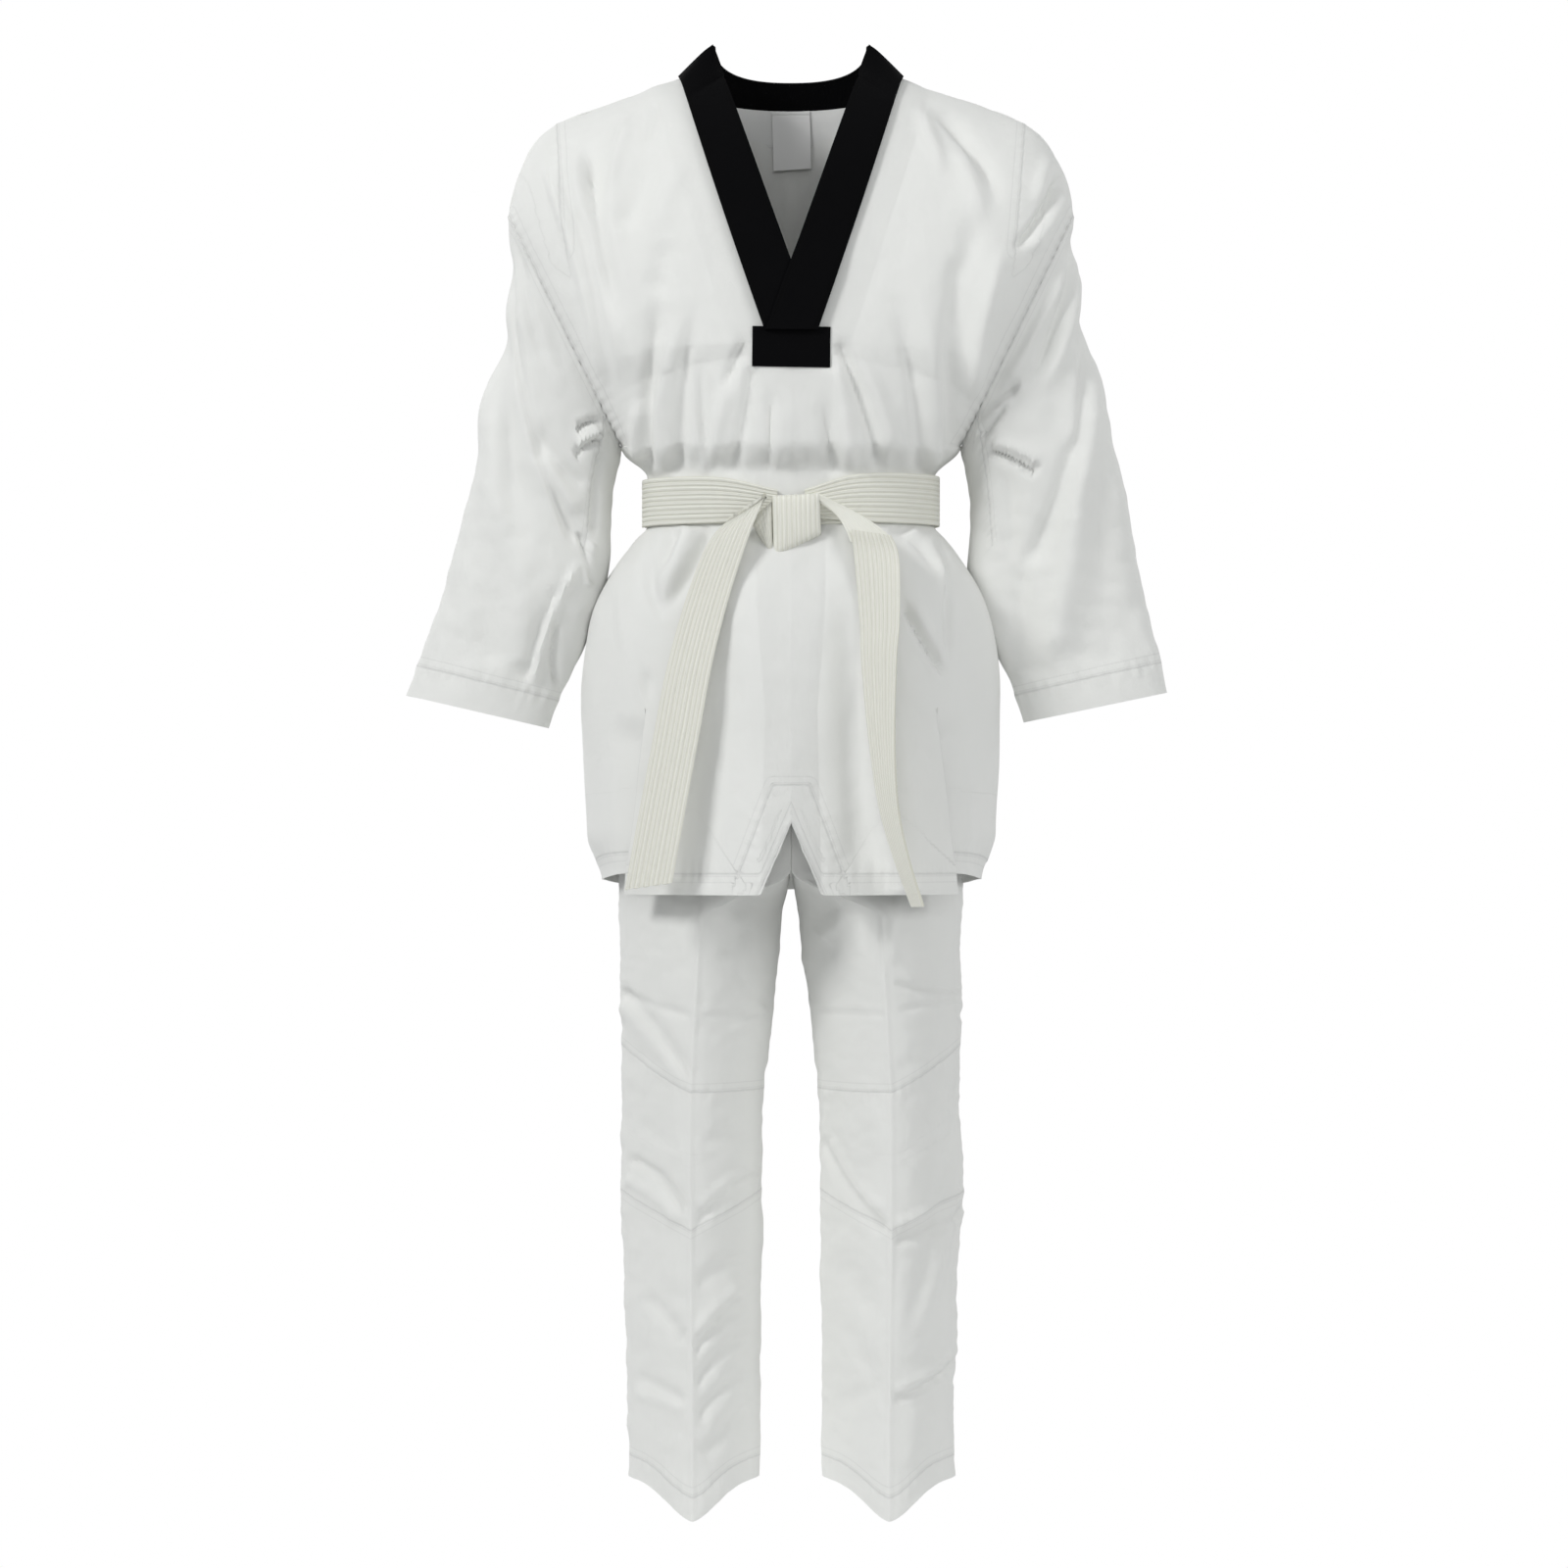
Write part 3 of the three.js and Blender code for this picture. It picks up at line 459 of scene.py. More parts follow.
class Nodes:
    """Short hands for building one node material."""

    def __init__(self, name: str) -> None:
        """Starts a material with only its shader and output."""
        self.material = bpy.data.materials.new(name)
        self.material.use_nodes = True
        self.tree = self.material.node_tree
        self.shader = self.tree.nodes["Principled BSDF"]

    def node(self, kind: str, **settings: object) -> bpy.types.Node:
        """A new node with properties set."""
        made = self.tree.nodes.new(kind)
        for key, value in settings.items():
            setattr(made, key, value)
        return made

    def link(self, value: object, socket: bpy.types.NodeSocket) -> None:
        """Joins an output to a socket, or sets the socket's own value."""
        if isinstance(value, bpy.types.NodeSocket):
            self.tree.links.new(value, socket)
        else:
            socket.default_value = value

    def math(self, operation: str, *values: object) -> bpy.types.NodeSocket:
        """The result of a Math node."""
        made = self.node("ShaderNodeMath", operation=operation)
        for n, value in enumerate(values):
            self.link(value, made.inputs[n])
        return made.outputs[0]

    def noise(self, place: object, scale: float, detail: float = 3.0) -> bpy.types.NodeSocket:
        """Noise from 0 to 1 at a place."""
        made = self.node("ShaderNodeTexNoise")
        self.link(place, made.inputs["Vector"])
        made.inputs["Scale"].default_value = scale
        made.inputs["Detail"].default_value = detail
        return made.outputs["Fac"]

    def line(self, distance: object, middle: float, half: float) -> bpy.types.NodeSocket:
        """1 on a line at a distance, falling to 0 at its half width."""
        off = self.math("ABSOLUTE", self.math("SUBTRACT", distance, middle))
        return self.math("SUBTRACT", 1.0, self.math("MINIMUM", self.math("DIVIDE", off, half), 1.0))

    def blend(self, share: object, first: Sequence[float], second: Sequence[float]) -> object:
        """A colour between two others."""
        made = self.node("ShaderNodeMix", data_type="RGBA")
        self.link(share, made.inputs[0])
        self.link((*first, 1.0), made.inputs[6])
        self.link((*second, 1.0), made.inputs[7])
        return made.outputs[2]


@dataclass(frozen=True)
class Cloth:
    """A woven finish: a fine diagonal rib, slight unevenness, and stitched seams.

    Lengths are in metres. The rib is two crossed sine waves. Each seam is a groove, with rows of
    dashed stitches at `stitch_rows` from it; the groove and the stitch rows are tinted towards a
    darker seam colour as painted shade.
    """

    name: str
    colour: tuple[float, float, float]
    shade: tuple[float, float, float]
    roughness: float = 0.86
    sheen: float = 0.2
    specular: float = 0.25
    rib: float = 0.0011
    rib_depth: float = 0.00012
    crinkle: float = 0.0006
    stitch_rows: tuple[float, ...] = (0.0022, 0.008)
    stitch: float = 0.0032
    groove: float = 0.0005
    # Painted shade: the darker colour tinted into the seam grooves and along the stitch rows.
    seam_shade_colour: tuple[float, float, float] = (0.6, 0.6, 0.59)

    def build(self) -> bpy.types.Material:
        """The finish as a node material."""
        n = Nodes(self.name)
        weave = n.node("ShaderNodeUVMap", uv_map="Weave").outputs[0]
        seams = n.node("ShaderNodeUVMap", uv_map="Seams").outputs[0]
        flat = n.node("ShaderNodeSeparateXYZ")
        n.link(weave, flat.inputs[0])
        sewing = n.node("ShaderNodeSeparateXYZ")
        n.link(seams, sewing.inputs[0])
        across, up = flat.outputs[0], flat.outputs[1]
        distance, along = sewing.outputs[0], sewing.outputs[1]
        turn = 2 * math.pi / self.rib
        twill = n.math("SINE", n.math("MULTIPLY", n.math("ADD", across, up), turn))
        yarn = n.math("SINE", n.math("MULTIPLY", n.math("SUBTRACT", across, up), turn * 1.7))
        thread = n.math("ADD", n.math("MULTIPLY", twill, 0.65), n.math("MULTIPLY", yarn, 0.35))
        place = n.node("ShaderNodeTexCoord").outputs["Object"]
        soft = n.noise(place, 26.0, 4.0)
        fine = n.noise(place, 95.0, 3.0)
        dash = n.math("SINE", n.math("MULTIPLY", along, 2 * math.pi / self.stitch))
        dash = n.math("MAXIMUM", n.math("ADD", n.math("MULTIPLY", dash, 1.6), 0.7), 0.0)
        dash = n.math("MINIMUM", dash, 1.0)
        rows: object = 0.0
        for row in self.stitch_rows:
            rows = n.math("ADD", rows, n.line(distance, row, 0.0009))
        sunk = n.math("ADD", n.line(distance, 0.0, 0.0016), n.math("MULTIPLY", rows, 0.5))
        raised = n.math("MULTIPLY", rows, n.math("MULTIPLY", dash, 0.55))
        relief = n.math("MULTIPLY", thread, self.rib_depth)
        for operation, value, depth in (
            ("ADD", soft, self.crinkle * 4),
            ("ADD", fine, self.crinkle),
            ("SUBTRACT", sunk, self.groove),
            ("ADD", raised, self.groove),
        ):
            relief = n.math(operation, relief, n.math("MULTIPLY", value, depth))
        normal = n.node("ShaderNodeBump")
        normal.inputs["Strength"].default_value = 0.75
        normal.inputs["Distance"].default_value = 1.0
        n.link(relief, normal.inputs["Height"])
        n.link(normal.outputs[0], n.shader.inputs["Normal"])
        tone = n.math("MULTIPLY", n.math("SUBTRACT", n.noise(place, 7.0, 2.0), 0.35), 1.1)
        tone = n.math("ADD", tone, n.math("MULTIPLY", thread, 0.06))
        base = n.node("ShaderNodeMix", data_type="RGBA")
        n.link(n.blend(tone, self.colour, self.shade), base.inputs[6])
        n.link((*self.seam_shade_colour, 1.0), base.inputs[7])
        # Painted shade: the seam grooves and stitch rows are tinted 55% of the way to the darker seam
        # colour.
        seam_shade_share = n.math("MULTIPLY", n.math("MINIMUM", sunk, 1.0), 0.55)
        n.link(seam_shade_share, base.inputs[0])
        n.link(base.outputs[2], n.shader.inputs["Base Color"])
        rough = n.math("ADD", self.roughness - 0.04, n.math("MULTIPLY", fine, 0.08))
        n.link(rough, n.shader.inputs["Roughness"])
        n.shader.inputs["Sheen Weight"].default_value = self.sheen
        n.shader.inputs["Sheen Roughness"].default_value = 0.5
        n.shader.inputs["Specular IOR Level"].default_value = self.specular
        return n.material


JACKET = Cloth("jacket_cloth", (0.84, 0.845, 0.82), (0.80, 0.805, 0.78))
LINING = Cloth(
    "lining_cloth", (0.84, 0.845, 0.83), (0.8, 0.805, 0.79), rib=0.0009, stitch_rows=(0.0022,)
)
TROUSER = Cloth("trouser_cloth", (0.82, 0.825, 0.80), (0.78, 0.785, 0.76))
COLLAR = Cloth(
    "collar_cloth", (0.0012, 0.0012, 0.0016), (0.0025, 0.0025, 0.003), roughness=0.9, sheen=0.0,
    rib=0.0014, crinkle=0.0002, stitch_rows=(), groove=0.0003, seam_shade_colour=(0.001, 0.001, 0.001),
    specular=0.08,
)
BELT = Cloth(
    "belt_webbing", (0.90, 0.90, 0.83), (0.86, 0.86, 0.79), rib=0.0009, rib_depth=0.00014,
    crinkle=0.0003, stitch_rows=(), stitch=0.003, seam_shade_colour=(0.62, 0.61, 0.5),
)
ELASTIC = Cloth("elastic", (0.7, 0.7, 0.68), (0.6, 0.6, 0.58), rib=0.002, rib_depth=0.0003)
LABEL = Cloth(
    "label_cloth", (0.84, 0.84, 0.83), (0.8, 0.8, 0.79), roughness=0.55, rib=0.0006,
    rib_depth=0.00004, crinkle=0.0002, stitch_rows=(),
)


class Wardrobe:
    """Makes each finish once."""

    def __init__(self) -> None:
        """Starts with nothing made."""
        self.made: dict[str, bpy.types.Material] = {}

    def get(self, cloth: Cloth) -> bpy.types.Material:
        """The material of a cloth."""
        if cloth.name not in self.made:
            self.made[cloth.name] = cloth.build()
        return self.made[cloth.name]


def place_piece(
    nodes: Sequence[str],
) -> None:
    """Hides the CAD nodes that a sheet replaces.

    Args:
        nodes: The CAD nodes that it stands for.
    """
    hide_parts(*nodes)


# ---------------------------------------------------------------- the body's shape


@dataclass(frozen=True)
class Level:
    """Half sizes of a cross-section at a height."""

    z: float
    width: float
    depth: float
    middle: float = 0.0


def size_at(levels: Sequence[Level], z: Array) -> tuple[Array, Array, Array]:
    """Half width, half depth and middle at heights between levels, eased by 3t^2 - 2t^3."""
    ordered = sorted(levels, key=lambda level: level.z)
    heights = np.array([level.z for level in ordered])
    cell = np.clip(np.searchsorted(heights, z) - 1, 0, len(ordered) - 2)
    t = smooth((z - heights[cell]) / (heights[cell + 1] - heights[cell]))

    def between(values: list[float]) -> Array:
        """Values at the heights."""
        v = np.array(values)
        return mix(v[cell], v[cell + 1], t)

    return (
        between([level.width for level in ordered]),
        between([level.depth for level in ordered]),
        between([level.middle for level in ordered]),
    )


@dataclass(frozen=True)
class Cut:
    """The jacket's main sizes in millimetres."""

    power: float = 2.3
    chest: Level = Level(-345, 164, 118)
    belt_top: Level = Level(-373.5, 139, 100)
    belt_foot: Level = Level(-422.5, 139, 100)
    hips: Level = Level(-600, 200, 137)
    hem: Level = Level(-775, 194, 141)
    flap_top: float = 138.0
    flap_bottom: float = 160.0
    neck_x: float = 108.0
    neck_z: float = 14.0
    neck_back: float = 80.0
    neck_back_z: float = -8.0
    v_bottom: float = -258.0
    foot_x: float = 20.0
    foot_z: float = -250.0
    v_spread: float = 0.85
    shoulder_power: float = 1.9
    tip_x: float = 274.0
    tip_z: float = -120.0
    armhole_depth: float = 63.0
    notch_half: float = 29.0
    notch_height: float = 68.0
    wing_rise: float = 26.0
    cloth: float = 1.8

    @property
    def levels(self) -> list[Level]:
        """The levels from the hem up."""
        return [self.hem, self.hips, self.belt_foot, self.belt_top, self.chest]

    def sizes(self, z: Array) -> tuple[Array, Array]:
        """Half width and depth at heights; below the belt they spread by 1 - (1 - t)^3."""
        width, depth, _ = size_at(self.levels, z)
        down = np.clip((self.belt_foot.z - z) / (self.belt_foot.z - self.hips.z), 0, 1)
        share = 1 - (1 - down) ** 3
        inside = (z < self.belt_foot.z) & (z > self.hips.z)
        width = np.where(inside, mix(self.belt_foot.width, self.hips.width, share), width)
        depth = np.where(inside, mix(self.belt_foot.depth, self.hips.depth, share), depth)
        return width, depth

    def section(self, degrees: Array, z: Array) -> Array:
        """Points of the body at angles from the front and heights."""
        width, depth = self.sizes(z)
        x, y = rounded(width, depth, degrees, self.power)
        return vec(x, y, z)

    def angle_at(self, x: Array, z: Array) -> Array:
        """Degrees from the front at which the section reaches a half width."""
        width, _ = self.sizes(z)
        return np.degrees(np.arcsin(np.minimum(1, np.abs(x) / width) ** (self.power / 2)))

    def seam_angle(self, z: Array) -> Array:
        """Degrees from the front to the side seam, coming forwards below the belt."""
        down = (self.belt_foot.z - z) / (self.belt_foot.z - self.hips.z)
        end = (self.flap_top / self.hips.width) ** (self.power / 2)
        return np.degrees(np.arcsin(mix(1.0, end, np.clip(down, 0, 1))))

    @property
    def armhole_seam(self) -> Seam:
        """The armhole's line seen from the front, from the shoulder's tip to the armpit."""
        return Seam(((self.tip_x, self.tip_z), (self.chest.width, self.chest.z)))

    def front_y(self, x: Array, z: Array) -> Array:
        """y of the section's front at places x, z, by the superellipse at x's own angle.

        Args:
            x: Distances from the middle.
            z: Heights.

        Returns:
            y at each place.
        """
        _, depth = self.sizes(z)
        _, y = rounded(1.0, depth, self.angle_at(x, z), self.power)
        return y

    def chest_depth(self, z: Array) -> Array:
        """Depth of the chest, d (1 - t^p)^(1/p), rounding to nothing at the shoulder."""
        up = np.clip((z - self.v_bottom) / (self.neck_z - self.v_bottom), 0, 1)
        p = self.shoulder_power
        return self.chest.depth * (1 - up**p) ** (1 / p)

    def shoulder(self, u: Array) -> tuple[Array, Array]:
        """x and z of the shoulder seam from the neck (0) to the armhole (1)."""
        knots = [
            (self.neck_x, self.neck_z), (145, 0), (186, -14), (228, -31), (252, -54), (267, -86),
            (self.tip_x, self.tip_z),
        ]
        places = spline(knots, u)
        return places[..., 0], places[..., 1]

    def armhole(self, v: Array, facing: float) -> Array:
        """The armhole's edge, a half ellipse in a slanted plane, from the armpit (0) up (1)."""
        turn = math.pi * v
        along = (1 - np.cos(turn)) / 2
        y = facing * self.armhole_depth * np.sin(turn)
        x = mix(self.chest.width, self.tip_x, along)
        return vec(x, y, mix(self.chest.z, self.tip_z, along))

    def front_edge(self, v: Array) -> Array:
        """The front's inner edge from the chest line (0) to the shoulder (1)."""
        low, foot = 0.235, 0.35
        rise = np.clip((v - foot) / (1 - foot), 0, 1) ** self.v_spread
        z = np.where(v <= low, mix(self.chest.z, self.v_bottom, v / low), 0.0)
        t = np.clip((v - low) / (foot - low), 0, 1)
        z = np.where(v > low, mix(self.v_bottom, self.foot_z, t), z)
        z = np.where(v > foot, mix(self.foot_z, self.neck_z, rise), z)
        x = np.where(v <= low, 0.0, self.foot_x * t)
        x = np.where(v > foot, mix(self.foot_x, self.neck_x, rise), x)
        return vec(x, -self.chest_depth(z), z)

    def chest_line(self, u: Array, facing: float) -> Array:
        """The chest's section from its middle in front or behind (0) to the side (1)."""
        degrees = 90 * u if facing < 0 else 180 - 90 * u
        x, y = rounded(self.chest.width, self.chest.depth, degrees, self.power)
        return vec(x, y, self.chest.z + 0 * u)

    def neckline(self, t: Array) -> Array:
        """The back neckline from its middle (0) to the shoulder (1), an ellipse from above."""
        turn = math.pi / 2 * t
        z = mix(self.neck_back_z, self.neck_z, t * t)
        return vec(self.neck_x * np.sin(turn), self.neck_back * np.cos(turn), z)

    def front_top(self, u: Array) -> Array:
        """The front's shoulder seam from the neck (0) to the armhole (1)."""
        x, z = self.shoulder(u)
        return vec(x, 0 * x, z)

    def back_top(self, u: Array) -> Array:
        """The back's top edge: the neckline up to 0.4, then the shoulder seam."""
        seam = self.front_top((u - 0.4) / 0.6)
        return np.where((u <= 0.4)[..., None], self.neckline(u / 0.4), seam)

    def back_middle(self, v: Array) -> Array:
        """The back's middle line, an ellipse seen from the side, from the chest line up."""
        t = np.sin(math.pi / 2 * v)
        y = mix(self.chest.depth, self.neck_back, 1 - np.cos(math.pi / 2 * t))
        return vec(0 * v, y, mix(self.chest.z, self.neck_back_z, v))

    def front_upper(self, u: Array, v: Array) -> Array:
        """The front above the chest line: a patch between its four edges."""
        return coons(
            lambda s: self.chest_line(s, -1), self.front_top, self.front_edge,
            lambda s: self.armhole(s, -1), u, v,
        )

    def back_upper(self, u: Array, v: Array) -> Array:
        """The back above the chest line: a patch between its four edges."""
        return coons(
            lambda s: self.chest_line(s, 1), self.back_top, self.back_middle,
            lambda s: self.armhole(s, 1), u, v,
        )


def coons(bottom: Edge, top: Edge, left: Edge, right: Edge, u: Array, v: Array) -> Array:
    """A patch between four edges: the two ruled surfaces added, less the one of the corners.

    Args:
        bottom: The edge at v = 0, by u.
        top: The edge at v = 1, by u.
        left: The edge at u = 0, by v.
        right: The edge at u = 1, by v.
        u: Shares across.
        v: Shares up.

    Returns:
        The patch's points.
    """
    a, b = u[..., None], v[..., None]
    ends = np.array([0.0, 1.0])
    low, high = bottom(ends), top(ends)
    corners = mix(mix(low[0], low[1], a), mix(high[0], high[1], a), b)
    return mix(bottom(u), top(u), b) + mix(left(v), right(v), a) - corners


# ---------------------------------------------------------------- jacket


FRONT_FOLDS = (
    # shoulders and armholes
    Fold((-196, -42), (-158, -250), -7.5, 11, 6, 0.55, (0.25, 0.35)),
    Fold((-186, -70), (-150, -300), 5.0, 15, 4, 1.0, (0.3, 0.3)),
    Fold((-240, -62), (-176, -300), 6.0, 10, -7, 0.6, (0.2, 0.2)),
    Fold((-226, -70), (-172, -310), -5.5, 8, -6, 1.0, (0.25, 0.25)),
    Fold((-206, -60), (-200, -140), 3.5, 7, 3, 1.0),
    Fold((-150, -20), (-176, -110), 3.2, 8, 4, 0.6),
    Fold((-124, -6), (-140, -70), -2.6, 6, 0, 1.0),
    Fold((-135, -60), (-165, -150), -4.0, 12, -4, 1.0),
    Fold((-110, -70), (-130, -150), 2.6, 14, 0, 1.0),
    Fold((120, -10), (150, -90), 4.0, 9, 4, 0.6),
    Fold((137, -22), (200, -120), -5.0, 9, -9, 0.6, (0.2, 0.4)),
    Fold((150, -50), (184, -150), 4.0, 9, -6, 1.0),
    Fold((185, -100), (160, -300), -4.5, 12, 8, 1.0, (0.3, 0.3)),
    Fold((205, -150), (172, -310), 5.0, 12, 6, 0.7, (0.3, 0.2)),
    Fold((259, -78), (212, -160), -4.5, 5, -5, 0.6, (0.2, 0.15)),
    Fold((266, -96), (224, -165), 3.5, 7, -4, 1.0, (0.2, 0.2)),
    Fold((250, -60), (232, -120), 3.0, 7, 0, 1.0),
    # gathers fanning down from the patch and up from the belt
    Fold((-38, -244), (-64, -300), -3.8, 6, 3, 0.7, (0.12, 0.35)),
    Fold((-36, -256), (-58, -380), -4.2, 7, -4, 0.8, (0.15, 0.05)),
    Fold((-60, -280), (-84, -380), 4.0, 7, -3, 1.0, (0.4, 0.05)),
    Fold((-88, -205), (-108, -380), -5.0, 9, 5, 0.7, (0.35, 0.05)),
    Fold((-84, -250), (-72, -376), -3.6, 6, 8, 0.8, (0.4, 0.05)),
    Fold((-110, -230), (-128, -378), 5.0, 10, 6, 0.8, (0.35, 0.05)),
    Fold((-126, -200), (-136, -370), -5.5, 9, 4, 0.7, (0.3, 0.05)),
    Fold((-118, -150), (-126, -215), -3.2, 12, 0, 1.0),
    Fold((-142, -300), (-150, -372), 4.0, 8, 0, 1.0, (0.3, 0.05)),
    Fold((-18, -290), (-22, -392), -2.8, 4, 0, 0.8, (0.3, 0.05)),
    Fold((-8, -300), (-12, -392), 2.6, 8, 0, 1.0, (0.4, 0.05)),
    Fold((28, -300), (40, -388), -4.2, 6, -2, 0.8, (0.4, 0.05)),
    Fold((40, -244), (86, -380), -4.6, 7, -5, 0.7, (0.12, 0.05)),
    Fold((52, -250), (100, -360), 3.6, 9, -6, 1.0, (0.3, 0.2)),
    Fold((38, -262), (56, -384), 3.6, 8, -4, 1.0, (0.2, 0.05)),
    Fold((92, -200), (124, -378), -3.8, 8, -8, 0.8, (0.4, 0.05)),
    Fold((112, -180), (140, -374), 3.6, 12, -10, 1.0, (0.4, 0.05)),
    Fold((146, -230), (148, -372), -4.6, 8, -3, 0.8, (0.35, 0.05)),
    Fold((158, -160), (150, -250), -3.0, 9, 0, 1.0),
    # below the belt
    Fold((-78, -422), (-128, -512), -5.0, 8, -6, 0.6, (0.05, 0.4)),
    Fold((-96, -424), (-134, -500), 5.0, 9, -4, 1.0, (0.05, 0.4)),
    Fold((-110, -428), (-124, -470), -3.6, 6, 0, 1.0, (0.05, 0.4)),
    Fold((-134, -440), (-120, -520), -3.0, 7, 6, 1.0),
    Fold((-136, -556), (-178, -640), -4.2, 9, -8, 0.7, (0.3, 0.2)),
    Fold((-150, -610), (-182, -634), 3.0, 5, 0, 0.7, (0.2, 0.2)),
    Fold((96, -424), (140, -476), -4.6, 7, -8, 0.7, (0.05, 0.4)),
    Fold((112, -426), (150, -500), 4.4, 8, -7, 1.0, (0.05, 0.4)),
    Fold((60, -430), (104, -500), -2.4, 7, 0, 1.0, (0.05, 0.5)),
    Fold((101, -492), (182, -612), -4.6, 5, 6, 0.45, (0.15, 0.15)),
    Fold((110, -490), (188, -612), 3.6, 9, 6, 1.0, (0.2, 0.2)),
    Fold((182, -606), (166, -668), -3.2, 5, -4, 0.6, (0.15, 0.3)),
    Fold((152, -560), (137, -612), -3.2, 4, 0, 0.6, (0.2, 0.1)),
    Fold((137, -606), (170, -668), -3.4, 4, 2, 0.6, (0.1, 0.2)),
    Fold((147, -428), (150, -566), -3.4, 6, 0, 0.5, (0.1, 0.2)),
    Fold((-40, -430), (-30, -620), 2.2, 22, 0, 1.0, (0.3, 0.4)),
    Fold((30, -440), (18, -690), 2.8, 26, 0, 1.0, (0.3, 0.4)),
    Fold((48, -450), (66, -760), -3.8, 16, 0, 1.0, (0.3, 0.1)),
    Fold((110, -600), (112, -775), 2.6, 20, 0, 1.0, (0.4, 0.02)),
    Fold((-70, -470), (-100, -770), -3.4, 20, 0, 1.0, (0.3, 0.05)),
)

BACK_FOLDS = (
    Fold((0, -20), (-4, -330), -2.0, 5, 2, 1.0, (0.05, 0.3)),
    Fold((-190, -40), (-150, -260), -6.0, 12, 6, 0.7),
    Fold((190, -40), (150, -260), -6.0, 12, -6, 0.7),
    Fold((-120, -210), (-128, -378), 4.6, 9, 4, 0.8, (0.35, 0.05)),
    Fold((-90, -240), (-100, -380), -4.6, 8, 3, 0.8, (0.35, 0.05)),
    Fold((-62, -230), (-66, -380), 4.0, 9, 3, 0.8, (0.35, 0.05)),
    Fold((-34, -270), (-34, -380), -4.2, 7, 2, 0.8, (0.35, 0.05)),
    Fold((30, -260), (32, -380), -4.4, 8, 2, 0.8, (0.35, 0.05)),
    Fold((60, -220), (64, -380), 4.0, 9, -3, 0.8, (0.35, 0.05)),
    Fold((92, -250), (100, -380), -4.6, 8, -3, 0.8, (0.35, 0.05)),
    Fold((120, -200), (130, -378), 4.6, 10, -4, 0.8, (0.35, 0.05)),
    Fold((-60, -424), (-90, -560), -4.5, 10, -4, 0.8, (0.05, 0.4)),
    Fold((60, -424), (86, -560), -4.5, 10, 4, 0.8, (0.05, 0.4)),
    Fold((-10, -424), (-6, -640), 4.0, 18, 0, 1.0, (0.05, 0.4)),
    Fold((-120, -430), (-150, -640), -5.0, 14, -4, 0.8, (0.05, 0.3)),
    Fold((120, -430), (150, -640), -5.0, 14, 4, 0.8, (0.05, 0.3)),
)


